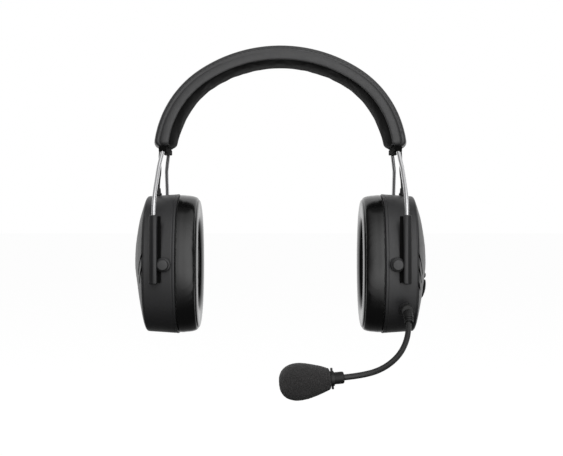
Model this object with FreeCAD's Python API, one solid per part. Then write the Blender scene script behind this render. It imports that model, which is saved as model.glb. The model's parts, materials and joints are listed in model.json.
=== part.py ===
import FreeCAD, Part
import math
import os
from FreeCAD import Vector

# Over-ear headset with a boom microphone.
# Millimetres. +Z is up, -Y is the wearer's front and +X is the wearer's left.
# The origin is where the headband pad rests on the crown of the head.
# Each side is built at +X and mirrored for the wearer's right.

# ---------------------------------------------------------------- driving dimensions
# headband: two tangent arcs on each side of the crown, measured on the pad's outer edge
CROWN_RADIUS = 108.8
SHOULDER_RADIUS = 76.0
SHOULDER_START = 33.0      # degrees from the crown where the shoulder arc begins
BAND_END = 84.0            # degrees from the crown where the pad ends
PAD_WIDTH = 41.0
PAD_EDGE = 10.5            # height of the pad's flat front and rear faces
PAD_TOP_CROWN = 2.0        # how far the top bulges above those faces
PAD_UNDER_CROWN = 2.5      # how far the cushioned underside bulges below them
COVER_WALL = 1.0

# spring strip and the clips on its ends
STRIP_THICK = 1.2
STRIP_WIDTH = 24.0
CLIP_DEPTH = 6.8           # the clip's middle plane below the pad's outer edge
CLIP_THICK = 4.4
CLIP_WIDTH = 28.8
CLIP_REACH = 11.0          # degrees of the band that the clip reaches into the pad
AXIS_DROP = 3.0            # wire axis below the pad's end face
KNUCKLE_RADIUS = 2.5
RIVET_RADIUS = 1.4
RIVET_HEAD_RADIUS = 2.6
RIVET_HEAD = 0.6
RIVET_SPACING = 14.0

# wire arms
WIRE_RADIUS = 1.5
WIRE_FIT = 0.05            # radial running clearance in the clip
CROSS_BEND_RADIUS = 3.2
SPREAD_RADIUS = 24.0
KNEE_RADIUS = 34.0
LEG_TOP = Vector(2.4, 6.4, -13.6)     # first leg of the wire, from the end of the cross bar
ARM_X = 90.7               # plane of the straight legs
ARM_Y = 40.0               # half the distance between the front and rear legs
ARM_KNEE_Z = -100.9        # where the spread legs turn vertical
WIRE_END_Z = -159.8
CROSS_HALF = 17.0          # half length of the cross bar to its theoretical corners

# sliders
SLIDER_TOP_Z = -113.0
SLIDER_LENGTH = 49.6
SLIDER_WIDTH = 7.0
SLIDER_INNER_Y = 37.6
SLIDER_ROUND_Y = 40.6      # centre of the half-round outer face
SLIDE_FIT = 0.1
BUSH_RADIUS = 2.3
BUSH_LENGTH = 9.0
PIVOT_X = 84.2
PIVOT_Z = -148.8
EAR_RADIUS = 5.4
EAR_THICK = 3.4
PIN_RADIUS = 2.5
PIN_FIT = 0.05
PIN_HEAD_RADIUS = 4.25
PIN_HEAD = 2.5
PIN_HEAD_EDGE = 0.8        # bevel round the pin's head
HEAD_ROOM = 0.3
PIN_BOSS_DEEP = 1.0        # boss behind the pin's inner end
PIN_REACH = 4.0            # pin length inside the cup wall's face

# ear cups
CUP_Z = -149.3
CUP_RIM_X = 76.3
CUP_CREASE_X = 100.0
CUP_RIM_HALF_Z = 52.7
CUP_RIM_HALF_Y = 37.2
CUP_DRAFT_Z = 1.6          # how far the wall draws in from the rim to the crease
CUP_DRAFT_Y = 1.2
CUP_WALL = 2.4
DOME_RISE = 10.0
OVAL_END_SHARE = 0.914     # radius of the oval's ends as a share of its half width
# the dome, as (share of the rise, share of the half sizes, shift up)
DOME_STEPS = [
    (0.00, 1.000, 0.0),
    (0.12, 0.940, 0.0),
    (0.26, 0.845, 0.8),
    (0.48, 0.675, 2.5),
    (0.68, 0.475, 3.6),
    (0.86, 0.280, 3.4),
    (0.97, 0.110, 0.6),
]
GROOVE_WIDTH = 1.5
GROOVE_DEPTH = 0.9
# slanted grooves at the dome's front edge, as (start height, run back, run down) from the cup centre
GROOVES = [(11.5, 12.0, 18.0), (1.5, 9.0, 14.0), (-9.0, 6.5, 8.5)]
GROOVE_FRONT_Y = -38.0
GROOVE_START = 0.4         # how far the grooves reach past the crease into the wall

# inside the cups
FIT = 0.1                  # clearance of fixed pieces that fit into each other
BAFFLE_X = 76.8
BAFFLE_THICK = 2.0
SEAL_THICK = 1.6
SEAL_HALF_Z = 33.0         # opening of the seal ring
SEAL_HALF_Y = 20.0
CUSHION_FACE_X = 60.5
CUSHION_STEP_Z = 0.5       # how far the cushion's ends stay inside the rim
CUSHION_PROUD_Y = 1.1      # how far its sides stand out past the rim
CUSHION_PAD_Z = 20.6       # width of the padding at the ends and at the sides
CUSHION_PAD_Y = 20.3
CUSHION_ROUND = 5.0
EAR_FOAM_THICK = 4.6
SPEAKER_RADIUS = 20.0
SPEAKER_DEPTH = 8.2
SPEAKER_FLANGE = 1.5
SPEAKER_CONE = 2.5         # depth of the basket's sloping part
SPEAKER_MAGNET = 2.2       # height of the magnet behind the basket
BASKET_SHARE = 0.72        # radii of the basket and the magnet as shares of the flange
BASKET_BACK_SHARE = 0.60
MAGNET_SHARE = 0.45
SPEAKER_HOLE_RADIUS = 17.0
GRILLE_HOLE_RADIUS = 1.0
GRILLE_PITCH = 3.6
GRILLE_RINGS = 3
SCREW_POST_Y = 24.0
SCREW_POST_IN = 25.7       # the screw posts' distance from the rim's ends
SCREW_POST_RADIUS = 3.0
SCREW_RADIUS = 1.2
SCREW_HEAD_RADIUS = 2.4
SCREW_HEAD = 1.0
SCREW_LENGTH = 8.0
SCREW_SLOT = 0.6
FOAM_X = 89.8
FOAM_THICK = 6.5
CABLE_ROOM_DEEP = 8.4      # room for the cable's end, below the top of the rim
BOARD_X = 97.6
BOARD_THICK = 1.6
BOARD_HALF_Y = 15.0
BOARD_HALF_Z = 25.0
BOARD_POST_RADIUS = 2.0
POST_INSET = 3.0           # posts in from the edges of the board or battery
POST_OFFSET_Z = 8.0        # the front post above the cup centre
BATTERY_X = 96.6
BATTERY_THICK = 5.2
BATTERY_HALF_Y = 15.0
BATTERY_HALF_Z = 22.0

# controls on the left cup's lower facet
FACET_TILT = 10.8          # degrees that the facet leans in towards the bottom
DIAL_DROP = 18.7           # below the cup centre
DIAL_RADIUS = 7.0
DIAL_HEIGHT = 2.0
DIAL_SINK = 0.9
DIAL_SHAFT_RADIUS = 1.5
DIAL_GAP = 0.3
DIAL_EDGE = 0.7            # height of the dial's coined rim
DIAL_NOTCHES = 24
NOTCH_RADIUS = 0.45
NOTCH_OUT = 0.25           # centres of the notches outside the dial's rim
DIAL_SHAFT_LENGTH = 6.0
SHAFT_FLAT = 2.0           # length of the flat on the shaft's end
SHAFT_FLAT_HEIGHT = 0.9    # the flat's distance from the shaft's axis
ENCODER_HALF = 5.0
ENCODER_TOP = 3.6          # depths of the encoder's faces below the facet
ENCODER_BACK = 7.4
BUTTON_DROP = 9.0
BUTTON_RADIUS = 2.3
BUTTON_HEIGHT = 1.5
BUTTON_TRAVEL = 0.6
BUTTON_STEM_RADIUS = 1.2
BUTTON_SINK = 0.3          # the button's foot below the surface
BUTTON_WELL = 1.0          # depth of the well that the button drops into
STEM_PROUD = 0.2           # how far the stem stands out inside the shell
SWITCH_HALF_Y = 3.0
SWITCH_HALF_Z = 2.2
SWITCH_DEEP = 2.4
PLUNGER_RADIUS = 1.0
PLUNGER_HEIGHT = 0.6

# charging port at the lower rear of the left cup
PORT_TURN = 55.0           # degrees round the cup's lower end from its lowest point
PORT_X = 90.0
PORT_HALF_X = 4.6
PORT_HALF_Y = 1.7
PORT_DEEP = 7.0
PORT_WALL = 0.5
PORT_SINK = 0.9            # the port's mouth inside the cup's outline
TONGUE_THICK = 0.6
TONGUE_SIDE = 1.2          # tongue in from the port's outer sides
TONGUE_BACK = 0.8          # and back from its mouth
FLAP_HALF_X = 6.0
FLAP_WIDTH = 6.4
FLAP_THICK = 1.2
FLAP_LIFT = 1.3            # the flap's middle plane outside the port's mouth
FLAP_CORNER = 1.2
LUG_THICK = 1.3
LUG_GAP = 0.2              # between the barrel and each lug
LUG_ROOT = 1.5             # how far the lugs reach into the shell
FLAP_PIN_RADIUS = 0.5
FLAP_BARREL_RADIUS = 0.95

# cable between the cups
CABLE_RADIUS = 0.9
CABLE_DEPTH = 2.4          # below the pad's outer edge
GROMMET_RADIUS = 1.9
GROMMET_TOP = 5.6          # height above the shell
GROMMET_SEAT = 0.25        # room for the curve of the shell under the flanges
GROMMET_X = 92.6
GROMMET_WAIST = 0.5        # how far the waist is thinner than the grommet
GROMMET_FLANGE = 0.7       # how far the flanges are wider
FLANGE_THICK = 1.2
FLANGE_CONE = 0.8          # height of the cone above the outer flange
GROMMET_LIP = 0.7          # rubber left round the cable at the top
# route of the exposed cable on the left side: exit, bow, bow, grommet, end inside the cup
CABLE_ROUTE = [(92.0, -69.5), (91.0, -78.5), (92.6, -88.5), (92.6, -104.0)]

# boom
SOCKET_X = 90.9
SOCKET_Z = -181.7
SOCKET_RADIUS = 5.0
SOCKET_FACE_Y = -40.0
BOOM_BASE_LENGTH = 3.2
BOOM_PIN_RADIUS = 2.0
BOOM_PIN_LENGTH = 7.5
BOOM_BASE_EDGE = 1.0       # bevel round the swivel's outer face
SOCKET_INNER_Y = -26.0     # inner end of the socket's boss
PIN_END_ROOM = 0.5
TUBE_RADIUS = 2.0
# control points of the gooseneck's centre line, from inside the swivel base to the microphone
BOOM_ROUTE = [
    Vector(91.0, -42.0, -182.6),
    Vector(91.2, -51.5, -193.1),
    Vector(84.8, -64.8, -207.1),
    Vector(72.5, -77.2, -216.1),
    Vector(57.0, -87.0, -220.3),
    Vector(41.5, -90.6, -221.2),
]
TUBE_ARC_SHARE = 0.45
BALL_GAP = 0.1             # clearance in the gooseneck's ball-ended links
RELIEF_LENGTH = 5.0
RELIEF_START = 4.2         # along the tube from the first control point
RELIEF_ROOT_RADIUS = 3.6
RELIEF_TIP_RADIUS = 3.0
RELIEF_RIBS = 2
RELIEF_GROOVE = 0.5        # depth of the grooves between the ribs
RELIEF_GROOVE_HALF = 0.4
MIC_AXIS = Vector(-1.0, -0.10, -0.08)
MIC_BODY_RADIUS = 4.0
MIC_BODY_LENGTH = 8.5
MIC_SHOULDER = 0.6
MIC_COLLAR = 0.5           # how far the body reaches back over the tube
MIC_COLLAR_STEP = 0.1
MIC_NECK_RADIUS = 4.5
MIC_NECK_LENGTH = 9.0
CAPSULE_RADIUS = 3.5
CAPSULE_LENGTH = 6.0
GRILLE_TIP = 1.2
MIC_HOLES = 6
MIC_HOLE_RADIUS = 0.6
MIC_HOLE_CIRCLE = 2.2
SCREEN_NECK_RADIUS = 7.0
SCREEN_RADIUS = 12.0
SCREEN_LENGTH = 33.6
SCREEN_WIDEST = 20.6
SCREEN_FLANK = 3.7         # how far the flank stands out halfway to the widest place
SCREEN_NOSE = 4.6          # length of the round nose
SCREEN_NOSE_RADIUS = 8.4
SCREEN_BROW = 0.9          # bulge between the widest place and the nose
SCREEN_GAP = 0.4
SCREEN_BORE_DEPTH = 16.0
BAND_THICK = 1.0           # clamp band round the end of the microphone's body
BAND_LENGTH = 2.4
BAND_TAB = 2.0             # how far the band's two ears stand out
BAND_TAB_WIDTH = 2.2
BAND_TAB_THICK = 1.3

# ---------------------------------------------------------------- helpers
X_AXIS = Vector(1, 0, 0)
Y_AXIS = Vector(0, 1, 0)
Z_AXIS = Vector(0, 0, 1)
ORIGIN = Vector(0, 0, 0)


def mirrored(shape):
    """The same shape on the wearer's right."""
    return shape.mirror(ORIGIN, X_AXIS)


def save(name, shape):
    """Write one node, after checking that all its solids are sound."""
    solids = shape.Solids
    if not solids:
        raise ValueError(name + " has no solid")
    for solid in solids:
        if not solid.isValid() or solid.Volume <= 0:
            raise ValueError(name + " has a broken solid")
    body = solids[0] if len(solids) == 1 else Part.makeCompound(solids)
    body.exportStep("parts/" + name + ".step")


def box(x0, x1, y0, y1, z0, z1):
    return Part.makeBox(x1 - x0, y1 - y0, z1 - z0, Vector(x0, y0, z0))


def rod(start, axis, radius, length):
    return Part.makeCylinder(radius, length, start, axis)


def turned(profile, start, axis):
    """Solid of revolution: profile is a list of edges or points (along, radius) about the axis."""
    wire = Part.Wire(profile) if isinstance(profile[0], Part.Edge) else Part.makePolygon(
        [Vector(along, radius, 0) for along, radius in profile + profile[:1]])
    solid = Part.Face(wire).revolve(ORIGIN, X_AXIS, 360)
    solid.Placement = FreeCAD.Placement(start, FreeCAD.Rotation(X_AXIS, axis))
    return solid


def arc(a, b, c):
    return Part.Arc(a, b, c).toShape()


def cap_arc(along, radius, tip):
    """Profile edge of a round nose: from (along, radius) to the axis at tip, meeting it squarely."""
    centre = (tip ** 2 - along ** 2 - radius ** 2) / (2 * (tip - along))
    size = tip - centre
    half = math.atan2(radius, along - centre) / 2
    middle = Vector(centre + size * math.cos(half), size * math.sin(half), 0)
    return arc(Vector(along, radius, 0), middle, Vector(tip, 0, 0))


def line(a, b):
    return Part.LineSegment(a, b).toShape()


def rounded_path(points, radii):
    """Straight runs joined by tangent arcs, one radius for each inner point."""
    edges = []
    last = points[0]
    for i, radius in enumerate(radii, 1):
        into = (points[i] - points[i - 1]).normalize()
        out = (points[i + 1] - points[i]).normalize()
        half = into.getAngle(out) / 2
        reach = radius * math.tan(half)
        first = points[i] - into * reach
        second = points[i] + out * reach
        inward = (out - into).normalize()
        middle = points[i] + inward * (radius / math.cos(half) - radius)
        if (first - last).Length > 1e-6:
            edges.append(line(last, first))
        edges.append(arc(first, middle, second))
        last = second
    edges.append(line(last, points[-1]))
    return Part.Wire(edges)


def largest_radii(points):
    """The largest arc that each corner's two runs leave room for."""
    radii = []
    for i in range(1, len(points) - 1):
        before = points[i] - points[i - 1]
        after = points[i + 1] - points[i]
        half = before.getAngle(after) / 2
        radii.append(TUBE_ARC_SHARE * min(before.Length, after.Length) / math.tan(half))
    return radii


def tube(path, radius):
    """Round solid along a path."""
    edge = path.OrderedEdges[0]
    start = edge.valueAt(edge.FirstParameter)
    ahead = edge.tangentAt(edge.FirstParameter)
    if (path.OrderedVertexes[0].Point - start).Length > 1e-6:
        start = edge.valueAt(edge.LastParameter)
        ahead = edge.tangentAt(edge.LastParameter) * -1
    circle = Part.Wire(Part.Circle(start, ahead, radius).toShape())
    solid = path.makePipeShell([circle], True, False)
    expected = math.pi * radius ** 2 * path.Length
    if abs(solid.Volume - expected) > 0.01 * expected:
        raise ValueError("a tube's volume is off its section times its length")
    return solid


def oval(x, half_z, half_y, z):
    """Closed oval of four tangent arcs in the plane X = x, centred on Y = 0."""
    end_r = OVAL_END_SHARE * half_y
    rise = half_z - end_r
    side_r = (rise ** 2 + half_y ** 2 - end_r ** 2) / (2 * (half_y - end_r))
    side_c = side_r - half_y
    ty = -side_c + side_r * side_c / (side_r - end_r)
    tz = side_r * rise / (side_r - end_r)
    top, bottom = Vector(x, 0, z + half_z), Vector(x, 0, z - half_z)
    front, rear = Vector(x, -half_y, z), Vector(x, half_y, z)
    corners = [Vector(x, sy * ty, z + sz * tz) for sy, sz in ((1, 1), (-1, 1), (-1, -1), (1, -1))]
    return Part.Wire([
        arc(corners[0], top, corners[1]),
        arc(corners[1], front, corners[2]),
        arc(corners[2], bottom, corners[3]),
        arc(corners[3], rear, corners[0]),
    ])


def oval_plate(x0, x1, half_z, half_y, z=CUP_Z):
    return Part.Face(oval(x0, half_z, half_y, z)).extrude(Vector(x1 - x0, 0, 0))


# ---------------------------------------------------------------- headband
CROWN_C = Vector(0, 0, PAD_EDGE + PAD_UNDER_CROWN - CROWN_RADIUS)


def outward(angle):
    """Direction away from the head at an angle from the crown, towards +X."""
    turn = math.radians(angle)
    return Vector(math.sin(turn), 0, math.cos(turn))


SHOULDER_C = CROWN_C + outward(SHOULDER_START) * (CROWN_RADIUS - SHOULDER_RADIUS)
END_OUT = outward(BAND_END)
END_UP = Vector(-END_OUT.z, 0, END_OUT.x)
WIRE_AXIS = SHOULDER_C + END_OUT * (SHOULDER_RADIUS - CLIP_DEPTH) - END_UP * AXIS_DROP


def band_section(centre, radius, angle, outline):
    """A flat face across the band; outline is a list of edges given as (depth, y) points."""
    out = outward(angle)

    def place(depth, y):
        return centre + out * (radius - depth) + Y_AXIS * y

    edges = []
    for points in outline:
        placed = [place(*p) for p in points]
        edges.append(line(*placed) if len(placed) == 2 else arc(*placed))
    return Part.Face(Part.Wire(edges))


def band_solid(outline, end=BAND_END, start=None):
    """Sweep an outline round the band: over the crown to both ends, or from start to end at +X."""
    if start is None:
        crown = band_section(CROWN_C, CROWN_RADIUS, -SHOULDER_START, outline)
        parts = [crown.revolve(CROWN_C, Y_AXIS, 2 * SHOULDER_START)]
        shoulder = band_section(SHOULDER_C, SHOULDER_RADIUS, SHOULDER_START, outline)
        shoulder = shoulder.revolve(SHOULDER_C, Y_AXIS, end - SHOULDER_START)
        parts += [shoulder, mirrored(shoulder)]
        return parts[0].fuse(parts[1:]).removeSplitter()
    section = band_section(SHOULDER_C, SHOULDER_RADIUS, start, outline)
    return section.revolve(SHOULDER_C, Y_AXIS, end - start)


def pad_outline(inset):
    """The pad's section: flat edges, crowned top and cushioned underside."""
    y = PAD_WIDTH / 2 - inset
    top, under = inset, PAD_EDGE - inset
    return [
        [(top, -y), (inset - PAD_TOP_CROWN, 0), (top, y)],
        [(top, y), (under, y)],
        [(under, y), (under + PAD_UNDER_CROWN, 0), (under, -y)],
        [(under, -y), (top, -y)],
    ]


def slab_outline(top, bottom, half_y):
    return [
        [(top, -half_y), (top, half_y)],
        [(top, half_y), (bottom, half_y)],
        [(bottom, half_y), (bottom, -half_y)],
        [(bottom, -half_y), (top, -half_y)],
    ]


def cable_in_band(radius):
    """The cable's round run from end to end of the band."""
    def ring(centre, bend, start, sweep):
        out = outward(start)
        at = centre + out * (bend - CABLE_DEPTH)
        face = Part.Face(Part.Wire(Part.Circle(at, Vector(out.z, 0, -out.x), radius).toShape()))
        return face.revolve(centre, Y_AXIS, sweep)
    crown = ring(CROWN_C, CROWN_RADIUS, -SHOULDER_START, 2 * SHOULDER_START)
    shoulder = ring(SHOULDER_C, SHOULDER_RADIUS, SHOULDER_START, BAND_END - SHOULDER_START)
    return crown.fuse([shoulder, mirrored(shoulder)]).removeSplitter()


STRIP_TOP = CLIP_DEPTH - CLIP_THICK / 2 - STRIP_THICK - FIT / 2
CLIP_START = BAND_END - CLIP_REACH
RIVET_ANGLE = BAND_END - CLIP_REACH / 2


def end_clip_blank(grow=0.0):
    """The clip without its holes: a curved tongue in the pad and a knuckle below it."""
    half = CLIP_WIDTH / 2 + grow
    top = CLIP_DEPTH - CLIP_THICK / 2 - grow
    tongue = band_solid(slab_outline(top, CLIP_DEPTH + CLIP_THICK / 2 + grow, half),
                        BAND_END, CLIP_START)
    knuckle = rod(WIRE_AXIS - Y_AXIS * half, Y_AXIS, KNUCKLE_RADIUS + grow, 2 * half)
    neck = Part.makeBox(CLIP_THICK + 2 * grow, 2 * half, AXIS_DROP)
    neck.translate(Vector(-CLIP_THICK / 2 - grow, -half, 0))
    neck.rotate(ORIGIN, Y_AXIS, BAND_END - 90)
    neck.translate(WIRE_AXIS)
    return tongue.fuse([knuckle, neck]).removeSplitter()


def rivet_places():
    out = outward(RIVET_ANGLE)
    at = SHOULDER_C + out * (SHOULDER_RADIUS - STRIP_TOP)
    return [(at + Y_AXIS * (s * RIVET_SPACING / 2), out) for s in (-1, 1)]


def rivets():
    """Two rivets through the strip and the clip, with their heads on the strip."""
    made = []
    deep = STRIP_THICK + CLIP_THICK
    for at, out in rivet_places():
        shank = rod(at - out * deep, out, RIVET_RADIUS, deep)
        head = rod(at + out * FIT, out, RIVET_HEAD_RADIUS, RIVET_HEAD)
        neck = rod(at, out, RIVET_RADIUS, FIT)
        made.append(shank.fuse([neck, head]).removeSplitter())
    return made


def rivet_holes():
    deep = 3 * (STRIP_THICK + CLIP_THICK)
    return [rod(at - out * deep / 2, out, RIVET_RADIUS + FIT / 2, deep) for at, out in rivet_places()]


def rivet_head_room():
    return [rod(at, out, RIVET_HEAD_RADIUS + 2 * FIT, RIVET_HEAD + 4 * FIT) for at, out in rivet_places()]


def make_headband():
    skin = band_solid(pad_outline(0))
    core_end = BAND_END - math.degrees(COVER_WALL / SHOULDER_RADIUS)
    core = band_solid(pad_outline(COVER_WALL), core_end)
    clip_room = end_clip_blank(FIT)
    cable_room = cable_in_band(CABLE_RADIUS + 1.5 * FIT)
    cover = skin.cut([core, clip_room, mirrored(clip_room), cable_room])
    save("headband_cover", cover)

    strip_end = BAND_END - 2 * math.degrees(COVER_WALL / SHOULDER_RADIUS)
    strip = band_solid(slab_outline(STRIP_TOP, STRIP_TOP + STRIP_THICK, STRIP_WIDTH / 2), strip_end)
    holes = rivet_holes()
    strip = strip.cut(holes + [mirrored(h) for h in holes])
    save("headband_spring", strip)

    strip_room = band_solid(slab_outline(STRIP_TOP - FIT, STRIP_TOP + STRIP_THICK + FIT,
                                         STRIP_WIDTH / 2 + FIT), core_end)
    heads = rivet_head_room()
    foam = core.cut([strip_room, clip_room, mirrored(clip_room), cable_room]
                    + heads + [mirrored(h) for h in heads])
    save("headband_foam", foam)
    save("band_link_cable", cable_in_band(CABLE_RADIUS))

    bore = rod(WIRE_AXIS - Y_AXIS * CLIP_WIDTH, Y_AXIS, WIRE_RADIUS + WIRE_FIT, 2 * CLIP_WIDTH)
    clip = end_clip_blank().cut(holes + [bore])
    save("left_end_clip", clip)
    save("right_end_clip", mirrored(clip))
    pair = rivets()
    save("clip_rivets", Part.makeCompound(pair + [mirrored(r) for r in pair]))


# ---------------------------------------------------------------- wire arms and sliders
def wire_points():
    """Front half of the wire, from the middle of the cross bar to the end in the slider."""
    corner = WIRE_AXIS - Y_AXIS * CROSS_HALF
    bend = corner + Vector(LEG_TOP.x, -LEG_TOP.y, LEG_TOP.z)
    knee = Vector(ARM_X, -ARM_Y, ARM_KNEE_Z)
    return [corner, bend, knee, Vector(ARM_X, -ARM_Y, WIRE_END_Z)]


def make_wire():
    """One bent wire: rear leg, cross bar through the clip and front leg."""
    front = wire_points()
    rear = [Vector(p.x, -p.y, p.z) for p in reversed(front)]
    points = rear + front
    leg = front[2] - front[1]
    half_turn = leg.getAngle(Z_AXIS * -1) / 2
    knee_radius = min(KNEE_RADIUS, (ARM_KNEE_Z - SLIDER_TOP_Z) / math.tan(half_turn))
    radii = [knee_radius, SPREAD_RADIUS, CROSS_BEND_RADIUS]
    radii = radii + radii[::-1]
    return tube(rounded_path(points, radii), WIRE_RADIUS)


def slider(front):
    """Half-round bar with a bore for the wire and an ear for the cup's pivot."""
    half = SLIDER_WIDTH / 2
    low = SLIDER_TOP_Z - SLIDER_LENGTH
    outline = Part.Wire([
        line(Vector(ARM_X - half, SLIDER_INNER_Y, low), Vector(ARM_X + half, SLIDER_INNER_Y, low)),
        line(Vector(ARM_X + half, SLIDER_INNER_Y, low), Vector(ARM_X + half, SLIDER_ROUND_Y, low)),
        arc(Vector(ARM_X + half, SLIDER_ROUND_Y, low), Vector(ARM_X, SLIDER_ROUND_Y + half, low),
            Vector(ARM_X - half, SLIDER_ROUND_Y, low)),
        line(Vector(ARM_X - half, SLIDER_ROUND_Y, low), Vector(ARM_X - half, SLIDER_INNER_Y, low)),
    ])
    bar = Part.Face(outline).extrude(Vector(0, 0, SLIDER_LENGTH))
    deep = SLIDER_ROUND_Y + half + 1 - SLIDER_INNER_Y + 1
    start_y = SLIDER_INNER_Y - 1
    foot = Part.makeCylinder(half, deep, Vector(ARM_X, start_y, low + half), Y_AXIS)
    above = box(ARM_X - half, ARM_X + half, start_y, start_y + deep, low + half, SLIDER_TOP_Z)
    bar = bar.common(foot.fuse(above))
    ear = rod(Vector(PIVOT_X, SLIDER_INNER_Y, PIVOT_Z), Y_AXIS, EAR_RADIUS, EAR_THICK)
    solid = bar.fuse(ear).removeSplitter()
    wire_bore = rod(Vector(ARM_X, ARM_Y, WIRE_END_Z - 1), Z_AXIS, WIRE_RADIUS + SLIDE_FIT, SLIDER_LENGTH)
    bush_room = rod(Vector(ARM_X, ARM_Y, SLIDER_TOP_Z - BUSH_LENGTH), Z_AXIS, BUSH_RADIUS + FIT / 2,
                    BUSH_LENGTH + 1)
    pivot_bore = rod(Vector(PIVOT_X, SLIDER_INNER_Y - 1, PIVOT_Z), Y_AXIS, PIN_RADIUS + PIN_FIT,
                     EAR_THICK + 2)
    head_room = rod(Vector(PIVOT_X, SLIDER_INNER_Y + EAR_THICK, PIVOT_Z), Y_AXIS,
                    PIN_HEAD_RADIUS + HEAD_ROOM, PIN_HEAD + 2)
    solid = solid.cut([wire_bore, bush_room, pivot_bore, head_room])
    return solid.mirror(ORIGIN, Y_AXIS) if front else solid


def slider_bushes():
    """Nylon sleeves in the tops of both sliders; they grip the wires."""
    made = []
    for y in (-ARM_Y, ARM_Y):
        low = Vector(ARM_X, y, SLIDER_TOP_Z - BUSH_LENGTH + FIT / 2)
        sleeve = rod(low, Z_AXIS, BUSH_RADIUS, BUSH_LENGTH)
        made.append(sleeve.cut(rod(low - Z_AXIS, Z_AXIS, WIRE_RADIUS + WIRE_FIT, BUSH_LENGTH + 2)))
    return Part.makeCompound(made)


def pivot_pins():
    """Front and rear pins that the cup tilts on, with domed heads outside the sliders."""
    head_y = SLIDER_INNER_Y + EAR_THICK + FIT
    inner_y = CUP_RIM_HALF_Y - PIN_REACH
    edge = PIN_HEAD_EDGE
    profile = [
        (0, 0), (0, PIN_RADIUS), (head_y - inner_y, PIN_RADIUS), (head_y - inner_y, PIN_HEAD_RADIUS),
        (head_y - inner_y + PIN_HEAD - edge, PIN_HEAD_RADIUS),
        (head_y - inner_y + PIN_HEAD, PIN_HEAD_RADIUS - edge), (head_y - inner_y + PIN_HEAD, 0),
    ]
    return [turned(profile, Vector(PIVOT_X, s * inner_y, PIVOT_Z), Y_AXIS * s) for s in (-1, 1)]


# ---------------------------------------------------------------- ear cups
CREASE_HALF_Z = CUP_RIM_HALF_Z - CUP_DRAFT_Z
CREASE_HALF_Y = CUP_RIM_HALF_Y - CUP_DRAFT_Y
CUSHION_HALF_Z = CUP_RIM_HALF_Z - CUSHION_STEP_Z
CUSHION_HALF_Y = CUP_RIM_HALF_Y + CUSHION_PROUD_Y
CUSHION_HOLE_HALF_Z = CUSHION_HALF_Z - CUSHION_PAD_Z
CUSHION_HOLE_HALF_Y = CUSHION_HALF_Y - CUSHION_PAD_Y


def cup_solid(inset=0.0, extra=0.0):
    """The cup's outer form, or that form moved in by a wall; extra lengthens it at the rim."""
    rim = oval(CUP_RIM_X - extra, CUP_RIM_HALF_Z - inset, CUP_RIM_HALF_Y - inset, CUP_Z)
    crease_x = CUP_CREASE_X - inset
    crease_z = CREASE_HALF_Z - inset
    crease_y = CREASE_HALF_Y - inset
    crease = oval(crease_x, crease_z, crease_y, CUP_Z)
    wall = Part.makeLoft([rim, crease], True, True)
    dome = [oval(crease_x + DOME_RISE * rise, crease_z * share, crease_y * share, CUP_Z + up)
            for rise, share, up in DOME_STEPS]
    return wall.fuse(Part.makeLoft(dome, True, False, False, 3))


def surface_x(solid, y, z):
    """Where a line along X at (y, z) leaves the solid on its outer side."""
    probe = line(Vector(CUP_RIM_X, y, z), Vector(CUP_CREASE_X + 2 * DOME_RISE, y, z))
    return solid.common(probe).BoundBox.XMax


def post(solid, start_x, y, z, radius):
    """A round post inside the cup from start_x out to the dome."""
    return rod(Vector(start_x, y, z), X_AXIS, radius, CUP_CREASE_X + DOME_RISE - start_x).common(solid)


def screw_places():
    post_z = CUP_RIM_HALF_Z - SCREW_POST_IN
    return [(sy * SCREW_POST_Y, CUP_Z + sz * post_z) for sy in (-1, 1) for sz in (-1, 1)]


def groove_cutter(outer):
    """Three slanted slots at the dome's front edge, cut to an even depth."""
    slots = []
    for start, back, down in GROOVES:
        length = math.hypot(back, down)
        slot = box(CUP_CREASE_X - GROOVE_START, CUP_CREASE_X + 2 * DOME_RISE, 0, length,
                   -GROOVE_WIDTH / 2, GROOVE_WIDTH / 2)
        tip = rod(Vector(CUP_CREASE_X - GROOVE_START, length, 0), X_AXIS, GROOVE_WIDTH / 2, 2 * DOME_RISE)
        slot = slot.fuse(tip)
        slot.rotate(ORIGIN, X_AXIS, -math.degrees(math.atan2(down, back)))
        slot.translate(Vector(0, GROOVE_FRONT_Y, CUP_Z + start))
        slots.append(slot)
    core = cup_solid(GROOVE_DEPTH, 1)
    return slots[0].fuse(slots[1:]).cut(core)


def make_shell(outer):
    """The cup's moulded shell with its grooves, posts and pivot bosses."""
    shell = outer.cut(cup_solid(CUP_WALL, 1))
    shell = shell.cut(groove_cutter(outer))
    extras = [post(outer, BAFFLE_X + BAFFLE_THICK, y, z, SCREW_POST_RADIUS) for y, z in screw_places()]
    boss_in = PIN_REACH + PIN_BOSS_DEEP
    for s in (-1, 1):
        boss = rod(Vector(PIVOT_X, s * (CUP_RIM_HALF_Y - boss_in), PIVOT_Z), Y_AXIS * s,
                   PIN_RADIUS + CUP_WALL, boss_in)
        extras.append(boss.common(outer))
    shell = shell.fuse(extras)
    cuts = [rod(Vector(BAFFLE_X, y, z), X_AXIS, SCREW_RADIUS + FIT / 2, SCREW_LENGTH + 1)
            for y, z in screw_places()]
    for s in (-1, 1):
        cuts.append(rod(Vector(PIVOT_X, s * (CUP_RIM_HALF_Y - PIN_REACH - FIT), PIVOT_Z), Y_AXIS * s,
                        PIN_RADIUS + FIT / 4, 2 * PIN_REACH))
    cuts.append(rod(Vector(GROMMET_X, 0, CUP_Z + CUP_RIM_HALF_Z - 2 * CUP_WALL), Z_AXIS,
                    GROMMET_RADIUS - GROMMET_WAIST + FIT / 2, 3 * CUP_WALL))
    return shell.cut(cuts)


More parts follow.
